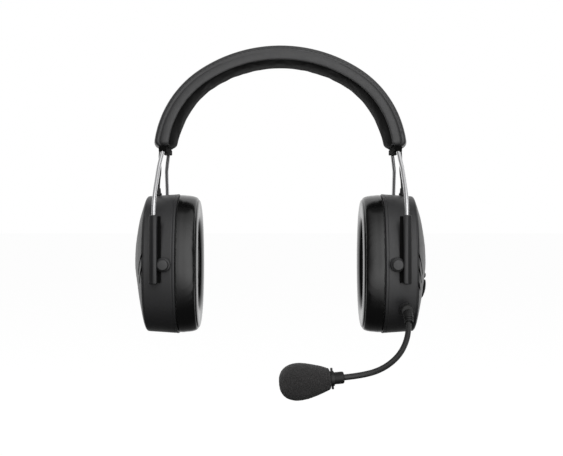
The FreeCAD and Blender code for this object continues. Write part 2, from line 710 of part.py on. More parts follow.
def grommet():
    """Flexible cable entry on top of the cup, waisted where it passes the shell."""
    share = (GROMMET_X - CUP_RIM_X) / (CUP_CREASE_X - CUP_RIM_X)
    shell_z = CUP_Z + CUP_RIM_HALF_Z - share * CUP_DRAFT_Z
    top = shell_z + GROMMET_TOP
    shell_out = shell_z + GROMMET_SEAT
    shell_in = shell_z - CUP_WALL - 1.5 * GROMMET_SEAT
    waist = GROMMET_RADIUS - GROMMET_WAIST
    flange = GROMMET_RADIUS + GROMMET_FLANGE
    bottom = shell_in - FLANGE_THICK
    cone = shell_out + FLANGE_THICK
    profile = [
        (bottom, 0), (bottom, flange), (shell_in, flange), (shell_in, waist), (shell_out, waist),
        (shell_out, flange), (cone, flange), (cone + FLANGE_CONE, GROMMET_RADIUS),
        (top, CABLE_RADIUS + GROMMET_LIP), (top, 0),
    ]
    solid = turned([(along - bottom, r) for along, r in profile], Vector(GROMMET_X, 0, bottom), Z_AXIS)
    return solid.cut(rod(Vector(GROMMET_X, 0, bottom - 1), Z_AXIS, CABLE_RADIUS + 2 * FIT,
                         top - bottom + 2))


def baffle():
    """Plate that closes the shell and carries the speaker."""
    gap = CUP_WALL + 2 * FIT
    draft = CUP_DRAFT_Z / (CUP_CREASE_X - CUP_RIM_X)
    trim = draft * (BAFFLE_X + BAFFLE_THICK - CUP_RIM_X)
    plate = oval_plate(BAFFLE_X, BAFFLE_X + BAFFLE_THICK, CUP_RIM_HALF_Z - gap - trim,
                       CUP_RIM_HALF_Y - gap - trim)
    cuts = [rod(Vector(BAFFLE_X - 1, 0, CUP_Z), X_AXIS, SPEAKER_HOLE_RADIUS, BAFFLE_THICK + 2)]
    for y, z in screw_places():
        cuts.append(rod(Vector(BAFFLE_X - 1, y, z), X_AXIS, SCREW_RADIUS + FIT, BAFFLE_THICK + 2))
        cuts.append(rod(Vector(BAFFLE_X - 1, y, z), X_AXIS, SCREW_HEAD_RADIUS + FIT, SCREW_HEAD + 1))
    return plate.cut(cuts)


def baffle_screws():
    made = []
    for y, z in screw_places():
        head = rod(Vector(BAFFLE_X, y, z), X_AXIS, SCREW_HEAD_RADIUS, SCREW_HEAD)
        shank = rod(Vector(BAFFLE_X, y, z), X_AXIS, SCREW_RADIUS, SCREW_LENGTH)
        slot = box(BAFFLE_X - 1, BAFFLE_X + SCREW_HEAD / 2, y - SCREW_HEAD_RADIUS, y + SCREW_HEAD_RADIUS,
                   z - SCREW_SLOT / 2, z + SCREW_SLOT / 2)
        made.append(head.fuse(shank).removeSplitter().cut(slot))
    return Part.makeCompound(made)


def seal_ring():
    """Plate that the cushion clips to; it sits inside the shell's rim."""
    gap = CUP_WALL + 2 * FIT
    outer = oval_plate(BAFFLE_X - SEAL_THICK, BAFFLE_X, CUP_RIM_HALF_Z - gap, CUP_RIM_HALF_Y - gap)
    hole = oval_plate(BAFFLE_X - SEAL_THICK - 1, BAFFLE_X + 1, SEAL_HALF_Z, SEAL_HALF_Y)
    return outer.cut(hole)


def cushion():
    """Padded ring, rounded at its head side."""
    back = BAFFLE_X - SEAL_THICK - FIT
    ring = oval_plate(CUSHION_FACE_X, back, CUSHION_HALF_Z, CUSHION_HALF_Y)
    hole = oval_plate(CUSHION_FACE_X - 1, back + 1, CUSHION_HOLE_HALF_Z, CUSHION_HOLE_HALF_Y)
    ring = ring.cut(hole)
    face_edges = [e for e in ring.Edges if abs(e.BoundBox.XMax - CUSHION_FACE_X) < 1e-6]
    return ring.makeFillet(CUSHION_ROUND, face_edges)


def ear_foam():
    return oval_plate(BAFFLE_X - EAR_FOAM_THICK, BAFFLE_X, CUSHION_HOLE_HALF_Z - 3 * FIT,
                      CUSHION_HOLE_HALF_Y - 3 * FIT)


def speaker():
    """Dynamic driver: flange on the baffle, basket and magnet behind it."""
    back = SPEAKER_DEPTH - SPEAKER_MAGNET
    profile = [
        (0, 0), (0, SPEAKER_RADIUS), (SPEAKER_FLANGE, SPEAKER_RADIUS),
        (SPEAKER_FLANGE + SPEAKER_CONE, SPEAKER_RADIUS * BASKET_SHARE),
        (back, SPEAKER_RADIUS * BASKET_BACK_SHARE), (back, SPEAKER_RADIUS * MAGNET_SHARE),
        (SPEAKER_DEPTH, SPEAKER_RADIUS * MAGNET_SHARE), (SPEAKER_DEPTH, 0),
    ]
    return turned(profile, Vector(BAFFLE_X + BAFFLE_THICK, 0, CUP_Z), X_AXIS)


def speaker_grille():
    """Perforated disc in the baffle's opening."""
    disc = rod(Vector(BAFFLE_X, 0, CUP_Z), X_AXIS, SPEAKER_HOLE_RADIUS - FIT, BAFFLE_THICK / 2)
    holes = [rod(Vector(BAFFLE_X - 1, 0, CUP_Z), X_AXIS, GRILLE_HOLE_RADIUS, BAFFLE_THICK + 1)]
    for ring in range(1, GRILLE_RINGS + 1):
        count = 6 * ring
        for i in range(count):
            turn = 2 * math.pi * i / count
            at = Vector(BAFFLE_X - 1, ring * GRILLE_PITCH * math.cos(turn),
                        CUP_Z + ring * GRILLE_PITCH * math.sin(turn))
            holes.append(rod(at, X_AXIS, GRILLE_HOLE_RADIUS, BAFFLE_THICK + 1))
    return disc.cut(holes)


def damping_foam(extra_cuts):
    """Open-cell slab across the cup, pierced by the screw posts and what else passes it."""
    inner = cup_solid(CUP_WALL + FIT, 1)
    reach = CUP_RIM_HALF_Z
    slab = box(FOAM_X, FOAM_X + FOAM_THICK, -reach, reach, CUP_Z - reach, CUP_Z + reach).common(inner)
    cuts = [rod(Vector(FOAM_X - 1, y, z), X_AXIS, SCREW_POST_RADIUS + FIT, FOAM_THICK + 2)
            for y, z in screw_places()]
    side = GROMMET_RADIUS + GROMMET_FLANGE + GROMMET_WAIST
    cuts.append(box(FOAM_X - 1, GROMMET_X + side, -side, side, CUP_Z + reach - CABLE_ROOM_DEEP,
                    CUP_Z + reach))
    return slab.cut(cuts + extra_cuts)


def board_posts(outer, start_x):
    """Posts that hold the board or the battery off the dome."""
    side = BOARD_HALF_Y - POST_INSET
    high = BATTERY_HALF_Z - POST_INSET
    places = [(0, high), (-side, POST_OFFSET_Z), (side, -high)]
    return [post(outer, start_x, y, CUP_Z + z, BOARD_POST_RADIUS) for y, z in places]


# ---------------------------------------------------------------- controls
def on_facet(shape, at):
    """Move a shape built along +X at the origin to a point of the lower facet."""
    shape.rotate(ORIGIN, Y_AXIS, FACET_TILT)
    shape.translate(at)
    return shape


def jog_dial():
    """Domed dial with a coined rim and a shaft into the encoder."""
    back = -DIAL_SINK + DIAL_GAP
    dome = [
        line(Vector(back, 0, 0), Vector(back, DIAL_RADIUS, 0)),
        line(Vector(back, DIAL_RADIUS, 0), Vector(DIAL_EDGE, DIAL_RADIUS, 0)),
        cap_arc(DIAL_EDGE, DIAL_RADIUS, DIAL_HEIGHT),
        line(Vector(DIAL_HEIGHT, 0, 0), Vector(back, 0, 0)),
    ]
    cap = turned(dome, ORIGIN, X_AXIS)
    notches = []
    for i in range(DIAL_NOTCHES):
        notch = rod(Vector(back - 1, DIAL_RADIUS + NOTCH_OUT, 0), X_AXIS, NOTCH_RADIUS,
                    2 * DIAL_HEIGHT + 1)
        notch.rotate(ORIGIN, X_AXIS, 360 * i / DIAL_NOTCHES)
        notches.append(notch)
    cap = cap.cut(notches)
    deep = -DIAL_SHAFT_LENGTH
    shaft = rod(Vector(deep, 0, 0), X_AXIS, DIAL_SHAFT_RADIUS, DIAL_SHAFT_LENGTH)
    flat = box(deep - 1, deep + SHAFT_FLAT, -DIAL_RADIUS, DIAL_RADIUS, SHAFT_FLAT_HEIGHT, DIAL_RADIUS)
    return cap.fuse(shaft.cut(flat)).removeSplitter()


def dial_encoder():
    """Rotary encoder under the shell: square body with a bore for the dial's shaft."""
    half = ENCODER_HALF
    body = box(-ENCODER_BACK, -ENCODER_TOP, -half, half, -half, half)
    bore_start = Vector(-DIAL_SHAFT_LENGTH - 6 * FIT, 0, 0)
    return body.cut(rod(bore_start, X_AXIS, DIAL_SHAFT_RADIUS + PIN_FIT, DIAL_SHAFT_LENGTH))


def power_button():
    """Small domed button with a stem through the shell to its switch."""
    foot = -CUP_WALL - STEM_PROUD
    stem = BUTTON_STEM_RADIUS
    low = -BUTTON_SINK
    edge = BUTTON_HEIGHT / 3
    dome = [
        line(Vector(foot, 0, 0), Vector(foot, stem, 0)),
        line(Vector(foot, stem, 0), Vector(low, stem, 0)),
        line(Vector(low, stem, 0), Vector(low, BUTTON_RADIUS, 0)),
        line(Vector(low, BUTTON_RADIUS, 0), Vector(edge, BUTTON_RADIUS, 0)),
        cap_arc(edge, BUTTON_RADIUS, BUTTON_HEIGHT),
        line(Vector(BUTTON_HEIGHT, 0, 0), Vector(foot, 0, 0)),
    ]
    return turned(dome, ORIGIN, X_AXIS)


def button_switch():
    """Tact switch below the button's stem, a travel and a gap away."""
    top = -CUP_WALL - STEM_PROUD - BUTTON_TRAVEL - FIT
    face = top - PLUNGER_HEIGHT
    plunger = rod(Vector(face, 0, 0), X_AXIS, PLUNGER_RADIUS, PLUNGER_HEIGHT)
    return box(face - SWITCH_DEEP, face, -SWITCH_HALF_Y, SWITCH_HALF_Y, -SWITCH_HALF_Z,
               SWITCH_HALF_Z).fuse(plunger)


def to_port(shape):
    """Turn a shape built at the cup's lowest point round the cup's end to the port."""
    end_r = OVAL_END_SHARE * CUP_RIM_HALF_Y
    pivot = Vector(0, 0, CUP_Z - CUP_RIM_HALF_Z + end_r)
    shape.rotate(pivot, X_AXIS, PORT_TURN)
    return shape


PORT_FACE_Z = CUP_Z - CUP_RIM_HALF_Z + PORT_SINK
FLAP_Z = PORT_FACE_Z - FLAP_LIFT
FLAP_PIN_Y = FLAP_WIDTH / 2 + FLAP_BARREL_RADIUS
BARREL_HALF = FLAP_HALF_X - LUG_THICK - LUG_GAP


def charge_port():
    """Metal receptacle through the shell wall, open outwards."""
    half_x, half_y = PORT_HALF_X, PORT_HALF_Y
    back = PORT_FACE_Z + PORT_DEEP - 2 * PORT_WALL
    outer = box(PORT_X - half_x, PORT_X + half_x, -half_y, half_y, PORT_FACE_Z, PORT_FACE_Z + PORT_DEEP)
    hole = box(PORT_X - half_x + PORT_WALL, PORT_X + half_x - PORT_WALL, -half_y + PORT_WALL,
               half_y - PORT_WALL, PORT_FACE_Z - 1, back)
    tongue = box(PORT_X - half_x + TONGUE_SIDE, PORT_X + half_x - TONGUE_SIDE, -TONGUE_THICK / 2,
                 TONGUE_THICK / 2, PORT_FACE_Z + TONGUE_BACK, back)
    return to_port(outer.cut(hole).fuse(tongue).removeSplitter())


def port_hole(room=FIT):
    """Room for the receptacle in the shell and the foam."""
    return to_port(box(PORT_X - PORT_HALF_X - room, PORT_X + PORT_HALF_X + room, -PORT_HALF_Y - room,
                       PORT_HALF_Y + room, PORT_FACE_Z - 2 * CUP_WALL, PORT_FACE_Z + PORT_DEEP + room))


def port_lugs():
    """Two lugs on the shell that hold the flap's pin ends."""
    made = []
    inner = BARREL_HALF + LUG_GAP
    for s in (-1, 1):
        x0, x1 = sorted((PORT_X + s * inner, PORT_X + s * (inner + LUG_THICK)))
        lug = box(x0, x1, FLAP_PIN_Y - FLAP_BARREL_RADIUS, FLAP_PIN_Y + FLAP_BARREL_RADIUS,
                  FLAP_Z, PORT_FACE_Z + LUG_ROOT)
        nose = rod(Vector(x0, FLAP_PIN_Y, FLAP_Z), X_AXIS, FLAP_BARREL_RADIUS, x1 - x0)
        bore = rod(Vector(x0 - 1, FLAP_PIN_Y, FLAP_Z), X_AXIS, FLAP_PIN_RADIUS + PIN_FIT, x1 - x0 + 2)
        made.append(to_port(lug.fuse(nose).cut(bore)))
    return made


def port_cover():
    """Flap over the port with a barrel and pin ends on its rear edge."""
    half = FLAP_THICK / 2
    leaf = box(PORT_X - FLAP_HALF_X, PORT_X + FLAP_HALF_X, -FLAP_WIDTH / 2, FLAP_WIDTH / 2 - LUG_GAP,
               FLAP_Z - half, FLAP_Z + half)
    long_edges = [e for e in leaf.Edges if abs(e.tangentAt(e.FirstParameter).z) > 0.9]
    leaf = leaf.makeFillet(FLAP_CORNER, [e for e in long_edges if e.BoundBox.YMax < 0])
    bridge = box(PORT_X - BARREL_HALF, PORT_X + BARREL_HALF, 0, FLAP_PIN_Y, FLAP_Z - half, FLAP_Z + half)
    barrel = rod(Vector(PORT_X - BARREL_HALF, FLAP_PIN_Y, FLAP_Z), X_AXIS, FLAP_BARREL_RADIUS,
                 2 * BARREL_HALF)
    pin_half = BARREL_HALF + LUG_GAP + LUG_THICK - FIT
    pin = rod(Vector(PORT_X - pin_half, FLAP_PIN_Y, FLAP_Z), X_AXIS, FLAP_PIN_RADIUS, 2 * pin_half)
    return to_port(leaf.fuse([bridge, barrel, pin]).removeSplitter())


# ---------------------------------------------------------------- boom
BOOM_RADII = largest_radii(BOOM_ROUTE)


def joint_place(index):
    """Middle of a run of the boom's route, and the run's direction."""
    run = BOOM_ROUTE[index + 1] - BOOM_ROUTE[index]
    return BOOM_ROUTE[index] + run * 0.5, run.normalize()


ROOT_BEND, ROOT_AHEAD = joint_place(1)
TIP_BEND, TIP_AHEAD = joint_place(3)


def tube_run(points, radii):
    return tube(rounded_path(points, radii), TUBE_RADIUS)


def ball_end(segment, at):
    """Close a tube's far end with a ball."""
    return segment.fuse(Part.makeSphere(TUBE_RADIUS, at)).removeSplitter()


def socket_end(segment, at):
    """Hollow a tube's near end so that it runs round the ball before it."""
    return segment.cut(Part.makeSphere(TUBE_RADIUS + BALL_GAP, at))


def make_gooseneck():
    p = BOOM_ROUTE
    root = tube_run([p[0], p[1], ROOT_BEND], BOOM_RADII[0:1])
    middle = tube_run([ROOT_BEND, p[2], p[3], TIP_BEND], BOOM_RADII[1:3])
    tip = tube_run([TIP_BEND, p[4], p[5]], BOOM_RADII[3:4])
    root = ball_end(root, ROOT_BEND)
    middle = ball_end(socket_end(middle, ROOT_BEND), TIP_BEND)
    tip = socket_end(tip, TIP_BEND)
    return root, middle, tip


def boom_base():
    """Swivel knuckle: a domed drum on a pin that turns in the cup's socket."""
    start = SOCKET_FACE_Y - FIT
    edge = BOOM_BASE_EDGE
    profile = [
        (-BOOM_PIN_LENGTH, 0), (-BOOM_PIN_LENGTH, BOOM_PIN_RADIUS), (0, BOOM_PIN_RADIUS),
        (0, SOCKET_RADIUS), (BOOM_BASE_LENGTH - edge, SOCKET_RADIUS),
        (BOOM_BASE_LENGTH, SOCKET_RADIUS - edge), (BOOM_BASE_LENGTH, 0),
    ]
    drum = turned(profile, Vector(SOCKET_X, start, SOCKET_Z), Y_AXIS * -1)
    ahead = (BOOM_ROUTE[1] - BOOM_ROUTE[0]).normalize()
    collar = rod(BOOM_ROUTE[0], ahead, RELIEF_ROOT_RADIUS, RELIEF_START)
    side = 4 * SOCKET_RADIUS
    collar = collar.cut(box(SOCKET_X - side, SOCKET_X + side, start, start + side,
                            SOCKET_Z - side, SOCKET_Z + side))
    base = drum.fuse(collar).removeSplitter()
    room = rod(BOOM_ROUTE[0], ahead, TUBE_RADIUS + FIT / 2, side)
    return base.cut(room)


def strain_relief():
    """Tapered rubber sleeve with ribs round the start of the tube."""
    ahead = (BOOM_ROUTE[1] - BOOM_ROUTE[0]).normalize()
    pitch = RELIEF_LENGTH / (RELIEF_RIBS + 1)
    profile = [(0, 0), (0, RELIEF_ROOT_RADIUS)]
    for i in range(1, RELIEF_RIBS + 1):
        radius = RELIEF_ROOT_RADIUS + (RELIEF_TIP_RADIUS - RELIEF_ROOT_RADIUS) * i / (RELIEF_RIBS + 1)
        along = i * pitch
        first, last = along - RELIEF_GROOVE_HALF, along + RELIEF_GROOVE_HALF
        deep = radius - RELIEF_GROOVE
        profile += [(first, radius), (first, deep), (last, deep), (last, radius)]
    profile += [(RELIEF_LENGTH, RELIEF_TIP_RADIUS), (RELIEF_LENGTH, 0)]
    start = BOOM_ROUTE[0] + ahead * (RELIEF_START + FIT)
    sleeve = turned(profile, start, ahead)
    return sleeve.cut(sleeve_bore())


def sleeve_bore():
    """Room for the tube in the strain relief, following the tube's own first arc."""
    path = rounded_path([BOOM_ROUTE[0], BOOM_ROUTE[1], ROOT_BEND], BOOM_RADII[0:1])
    return tube(path, TUBE_RADIUS + FIT / 2)


MIC_DIR = Vector(MIC_AXIS).normalize()
MIC_START = BOOM_ROUTE[-1]


def mic_at(along):
    return MIC_START + MIC_DIR * along


def mic_body():
    """Turned housing on the tube's end: rounded shoulder, body, and a neck inside the windscreen."""
    end = MIC_BODY_LENGTH + MIC_NECK_LENGTH
    profile = [
        (-MIC_COLLAR, 0), (-MIC_COLLAR, MIC_BODY_RADIUS - MIC_SHOULDER), (0, MIC_BODY_RADIUS - MIC_COLLAR_STEP),
        (MIC_SHOULDER, MIC_BODY_RADIUS), (MIC_BODY_LENGTH, MIC_BODY_RADIUS),
        (MIC_BODY_LENGTH, MIC_NECK_RADIUS), (end, MIC_NECK_RADIUS), (end, 0),
    ]
    body = turned(profile, MIC_START, MIC_DIR)
    bore = rod(mic_at(CAPSULE_START - FIT), MIC_DIR, CAPSULE_RADIUS + FIT / 2, CAPSULE_LENGTH + 2)
    tube_room = tube(rounded_path([TIP_BEND] + BOOM_ROUTE[4:], BOOM_RADII[3:4]), TUBE_RADIUS + FIT / 2)
    return body.cut([bore, tube_room])


CAPSULE_START = MIC_BODY_LENGTH + MIC_NECK_LENGTH - CAPSULE_LENGTH - FIT


def mic_capsule():
    return rod(mic_at(CAPSULE_START), MIC_DIR, CAPSULE_RADIUS, CAPSULE_LENGTH)


def mic_grille():
    """Perforated cap over the capsule."""
    start = CAPSULE_START + CAPSULE_LENGTH + FIT
    cap = rod(mic_at(start), MIC_DIR, MIC_NECK_RADIUS, GRILLE_TIP)
    holes = []
    side = MIC_DIR.cross(Z_AXIS).normalize()
    up = side.cross(MIC_DIR).normalize()
    for i in range(MIC_HOLES):
        turn = 2 * math.pi * i / MIC_HOLES
        out = side * math.cos(turn) + up * math.sin(turn)
        holes.append(rod(mic_at(start - 1) + out * MIC_HOLE_CIRCLE, MIC_DIR, MIC_HOLE_RADIUS,
                         GRILLE_TIP + 2))
    return cap.cut(holes)


def windscreen():
    """Pear-shaped foam cover with a blind bore for the microphone."""
    start = MIC_BODY_LENGTH + SCREEN_GAP
    wide = SCREEN_WIDEST
    flank = Vector(wide / 2, SCREEN_NECK_RADIUS + SCREEN_FLANK, 0)
    nose = Vector(SCREEN_LENGTH - SCREEN_NOSE, SCREEN_NOSE_RADIUS, 0)
    brow = Vector((wide + nose.x) / 2, (SCREEN_RADIUS + nose.y) / 2 + SCREEN_BROW, 0)
    edges = [
        line(Vector(0, 0, 0), Vector(0, SCREEN_NECK_RADIUS, 0)),
        arc(Vector(0, SCREEN_NECK_RADIUS, 0), flank, Vector(wide, SCREEN_RADIUS, 0)),
        arc(Vector(wide, SCREEN_RADIUS, 0), brow, nose),
        cap_arc(nose.x, nose.y, SCREEN_LENGTH),
        line(Vector(SCREEN_LENGTH, 0, 0), Vector(0, 0, 0)),
    ]
    body = turned(edges, mic_at(start), MIC_DIR)
    return body.cut(rod(mic_at(start - 1), MIC_DIR, MIC_NECK_RADIUS + FIT, SCREEN_BORE_DEPTH))


def retaining_ring():
    """Clamp band behind the windscreen's neck, with an ear at the top and at the bottom."""
    bore = MIC_BODY_RADIUS + FIT / 2
    outer = MIC_BODY_RADIUS + BAND_THICK
    start = mic_at(MIC_BODY_LENGTH - BAND_LENGTH)
    ring = rod(start, MIC_DIR, outer, BAND_LENGTH)
    side = MIC_DIR.cross(Z_AXIS).normalize()
    up = side.cross(MIC_DIR).normalize()
    tall = 2 * (outer + BAND_TAB)
    ears = Part.makeBox(tall, BAND_TAB_WIDTH, BAND_TAB_THICK)
    ears.translate(Vector(-tall / 2, -BAND_TAB_WIDTH / 2, 0))
    ears.Placement = FreeCAD.Placement(start + MIC_DIR * (BAND_LENGTH - BAND_TAB_THICK) / 2,
                                       FreeCAD.Rotation(up, side, MIC_DIR, "XZY")).multiply(ears.Placement)
    return ring.fuse(ears).cut(rod(start - MIC_DIR, MIC_DIR, bore, BAND_LENGTH + 2))


# ---------------------------------------------------------------- assemblies
def exposed_cable():
    """Cable from the end of the band through the grommet into the cup."""
    start = SHOULDER_C + END_OUT * (SHOULDER_RADIUS - CABLE_DEPTH)
    points = [start] + [Vector(x, 0, z) for x, z in CABLE_ROUTE]
    radii = largest_radii(points)
    return tube(rounded_path(points, radii), CABLE_RADIUS)


def make_sides():
    wire = make_wire()
    cable = exposed_cable()
    outer = cup_solid()
    plain_shell = make_shell(outer)
    both = {
        "wire_yoke": wire,
        "link_cable": cable,
        "slider_front": slider(True),
        "slider_rear": slider(False),
        "slider_bushes": slider_bushes(),
        "pivot_pins": Part.makeCompound(pivot_pins()),
        "cable_grommet": grommet(),
        "baffle": baffle(),
        "baffle_screws": baffle_screws(),
        "seal_ring": seal_ring(),
        "cushion": cushion(),
        "ear_foam": ear_foam(),
        "speaker": speaker(),
        "speaker_grille": speaker_grille(),
    }
    for name, shape in both.items():
        save("left_" + name, shape)
        save("right_" + name, mirrored(shape))
    make_left_cup(outer, plain_shell)
    make_right_cup(outer, plain_shell)


def make_left_cup(outer, shell):
    """Wearer's left shell with the boom socket, controls and charging port."""
    dial_z = CUP_Z - DIAL_DROP
    dial_at = Vector(surface_x(outer, 0, dial_z), 0, dial_z)
    button_z = CUP_Z - BUTTON_DROP
    button_at = Vector(surface_x(outer, 0, button_z), 0, button_z)

    socket_at = Vector(SOCKET_X, SOCKET_FACE_Y, SOCKET_Z)
    socket = rod(socket_at, Y_AXIS, SOCKET_RADIUS, SOCKET_INNER_Y - SOCKET_FACE_Y)
    socket_bore = rod(socket_at - Y_AXIS, Y_AXIS, BOOM_PIN_RADIUS + PIN_FIT,
                      BOOM_PIN_LENGTH + 1 + PIN_END_ROOM)
    save("boom_socket", socket.cut([outer, socket_bore]))
    inner_socket = socket.common(outer)
    shell = shell.fuse(board_posts(outer, BOARD_X + BOARD_THICK) + [inner_socket])
    shell = shell.fuse(port_lugs())
    through = 4 * CUP_WALL
    cuts = [
        socket_bore,
        port_hole(),
        on_facet(rod(Vector(-DIAL_SINK, 0, 0), X_AXIS, DIAL_RADIUS + DIAL_GAP, through), dial_at),
        on_facet(rod(Vector(-through, 0, 0), X_AXIS, DIAL_SHAFT_RADIUS + PIN_FIT, through), dial_at),
        on_facet(rod(Vector(-BUTTON_WELL, 0, 0), X_AXIS, BUTTON_RADIUS + PIN_FIT, through), button_at),
        on_facet(rod(Vector(-through, 0, 0), X_AXIS, BUTTON_STEM_RADIUS + PIN_FIT, through), button_at),
    ]
    save("left_shell", shell.cut(cuts))
    save("jog_dial", on_facet(jog_dial(), dial_at))
    board = box(BOARD_X, BOARD_X + BOARD_THICK, -BOARD_HALF_Y, BOARD_HALF_Y, CUP_Z - BOARD_HALF_Z,
                CUP_Z + BOARD_HALF_Z)
    save("circuit_board", board)
    save("dial_encoder", on_facet(dial_encoder(), dial_at).cut(board))
    save("power_button", on_facet(power_button(), button_at))
    save("button_switch", on_facet(button_switch(), button_at))
    socket_room = rod(socket_at, Y_AXIS, SOCKET_RADIUS + FIT, SOCKET_INNER_Y - SOCKET_FACE_Y + 1)
    save("left_damping_foam", damping_foam([socket_room, port_hole(1.0)]))
    save("charge_port", charge_port())
    save("port_cover", port_cover())


def make_right_cup(outer, shell):
    """Wearer's right shell, which holds the battery."""
    shell = shell.fuse(board_posts(outer, BATTERY_X + BATTERY_THICK))
    save("right_shell", mirrored(shell))
    save("right_damping_foam", mirrored(damping_foam([])))
    cell = box(BATTERY_X, BATTERY_X + BATTERY_THICK, -BATTERY_HALF_Y, BATTERY_HALF_Y,
               CUP_Z - BATTERY_HALF_Z, CUP_Z + BATTERY_HALF_Z)
    save("battery", mirrored(cell))


def make_boom():
    root, middle, tip = make_gooseneck()
    save("boom_base", boom_base())
    save("strain_relief", strain_relief())
    save("boom_tube_root", root)
    save("boom_tube_mid", middle)
    save("boom_tube_tip", tip)
    save("mic_body", mic_body())
    save("mic_capsule", mic_capsule())
    save("mic_grille", mic_grille())
    save("windscreen", windscreen())
    save("retaining_ring", retaining_ring())


os.makedirs("parts", exist_ok=True)
make_headband()
make_sides()
make_boom()
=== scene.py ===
import json
import math

import bmesh
import bpy
import numpy as np
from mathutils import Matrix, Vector, noise

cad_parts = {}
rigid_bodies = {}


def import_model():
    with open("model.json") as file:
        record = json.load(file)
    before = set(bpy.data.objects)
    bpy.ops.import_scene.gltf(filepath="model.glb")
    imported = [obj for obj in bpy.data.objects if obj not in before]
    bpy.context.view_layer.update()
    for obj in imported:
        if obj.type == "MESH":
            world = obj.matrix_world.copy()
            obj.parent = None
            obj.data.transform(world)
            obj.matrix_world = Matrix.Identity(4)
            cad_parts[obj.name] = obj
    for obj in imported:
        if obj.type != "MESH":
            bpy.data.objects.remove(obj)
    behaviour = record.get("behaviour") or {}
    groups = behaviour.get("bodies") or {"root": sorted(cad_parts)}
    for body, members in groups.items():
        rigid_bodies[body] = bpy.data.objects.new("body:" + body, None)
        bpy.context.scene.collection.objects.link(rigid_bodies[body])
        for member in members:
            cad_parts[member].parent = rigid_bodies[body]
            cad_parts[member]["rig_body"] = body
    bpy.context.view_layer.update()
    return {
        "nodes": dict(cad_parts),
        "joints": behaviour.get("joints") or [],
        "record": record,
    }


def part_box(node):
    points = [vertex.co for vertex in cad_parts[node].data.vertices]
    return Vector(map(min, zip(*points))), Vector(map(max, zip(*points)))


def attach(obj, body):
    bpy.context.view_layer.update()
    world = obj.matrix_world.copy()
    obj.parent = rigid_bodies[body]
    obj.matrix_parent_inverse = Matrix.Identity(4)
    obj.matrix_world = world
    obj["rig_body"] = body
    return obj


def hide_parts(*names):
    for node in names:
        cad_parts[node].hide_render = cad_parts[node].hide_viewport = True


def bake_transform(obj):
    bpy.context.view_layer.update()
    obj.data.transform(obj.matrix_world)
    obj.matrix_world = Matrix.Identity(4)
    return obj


# Over-ear headset with a boom microphone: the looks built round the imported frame.
# Lengths named here are in millimetres and become metres through MM, apart from the camera,
# the floor and the lamps, which are in metres.
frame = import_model()
MM = 0.001
SIDES = {"left": 1, "right": -1}
scene = bpy.context.scene


# ---- camera
CAMERA_DISTANCE = 0.700
CAMERA_X = 0.00084
CAMERA_Z = -0.1223
LENS = 58.89


def make_camera():
    data = bpy.data.cameras.new("camera")
    data.lens = LENS
    data.sensor_width = 36.0
    camera = bpy.data.objects.new("camera", data)
    camera.location = (CAMERA_X, -CAMERA_DISTANCE, CAMERA_Z)
    camera.rotation_euler = (math.radians(90), 0, 0)
    scene.collection.objects.link(camera)
    scene.camera = camera
    scene.view_settings.view_transform = "Standard"


make_camera()


# ---- mesh helpers
def add_object(name, mesh):
    piece = bpy.data.objects.new(name, mesh)
    scene.collection.objects.link(piece)
    return piece


def shade(mesh, sharp=35):
    """Smooth shading, with edges over that many degrees kept sharp."""
    work = bmesh.new()
    work.from_mesh(mesh)
    bmesh.ops.recalc_face_normals(work, faces=work.faces)
    for face in work.faces:
        face.smooth = True
    for edge in work.edges:
        if len(edge.link_faces) == 2:
            edge.smooth = edge.calc_face_angle() < math.radians(sharp)
    work.to_mesh(mesh)
    work.free()


def circle(at, side, up, radius, count):
    """Points round a place, in the plane of two directions."""
    return [at + (side * math.cos(t) + up * math.sin(t)) * radius
            for t in (2 * math.pi * k / count for k in range(count))]


def skin(name, rings, loop=False, sharp=35):
    """A mesh through rings of equal size; its ends are capped, unless loop joins them."""
    count = len(rings[0])
    verts = [tuple(p) for ring in rings for p in ring]
    faces = []
    spans = len(rings) if loop else len(rings) - 1
    for i in range(spans):
        a, b = i * count, ((i + 1) % len(rings)) * count
        for j in range(count):
            k = (j + 1) % count
            faces.append((a + j, a + k, b + k, b + j))
    if not loop:
        for start in (0, (len(rings) - 1) * count):
            middle = sum((Vector(v) for v in verts[start:start + count]), Vector()) / count
            verts.append(tuple(middle))
            hub = len(verts) - 1
            faces += [(start + j, start + (j + 1) % count, hub) for j in range(count)]
    mesh = bpy.data.meshes.new(name)
    mesh.from_pydata(verts, [], faces)
    shade(mesh, sharp)
    return add_object(name, mesh)


def points_of(mesh):
    co = np.zeros(len(mesh.vertices) * 3)
    mesh.vertices.foreach_get("co", co)
    return co.reshape(-1, 3)


def set_points(mesh, co):
    mesh.vertices.foreach_set("co", np.asarray(co, np.float32).ravel())
    mesh.update()


def apply_modifiers(piece):
    """Put what the modifiers make into the mesh, and drop them."""
    graph = bpy.context.evaluated_depsgraph_get()
    mesh = bpy.data.meshes.new_from_object(piece.evaluated_get(graph))
    piece.modifiers.clear()
    piece.data = mesh
    return piece


def remesh(piece, voxel, smooth):
    """An even mesh over the piece, lightly smoothed."""
    modifier = piece.modifiers.new("even", "REMESH")
    modifier.mode = "VOXEL"
    modifier.voxel_size = voxel * MM
    ease = piece.modifiers.new("ease", "SMOOTH")
    ease.factor = 0.5
    ease.iterations = smooth
    return apply_modifiers(piece)


def subdivide(piece):
    modifier = piece.modifiers.new("finer", "SUBSURF")
    modifier.levels = 1
    modifier.render_levels = 1
    apply_modifiers(piece)
    piece.data.shade_smooth()
    return piece


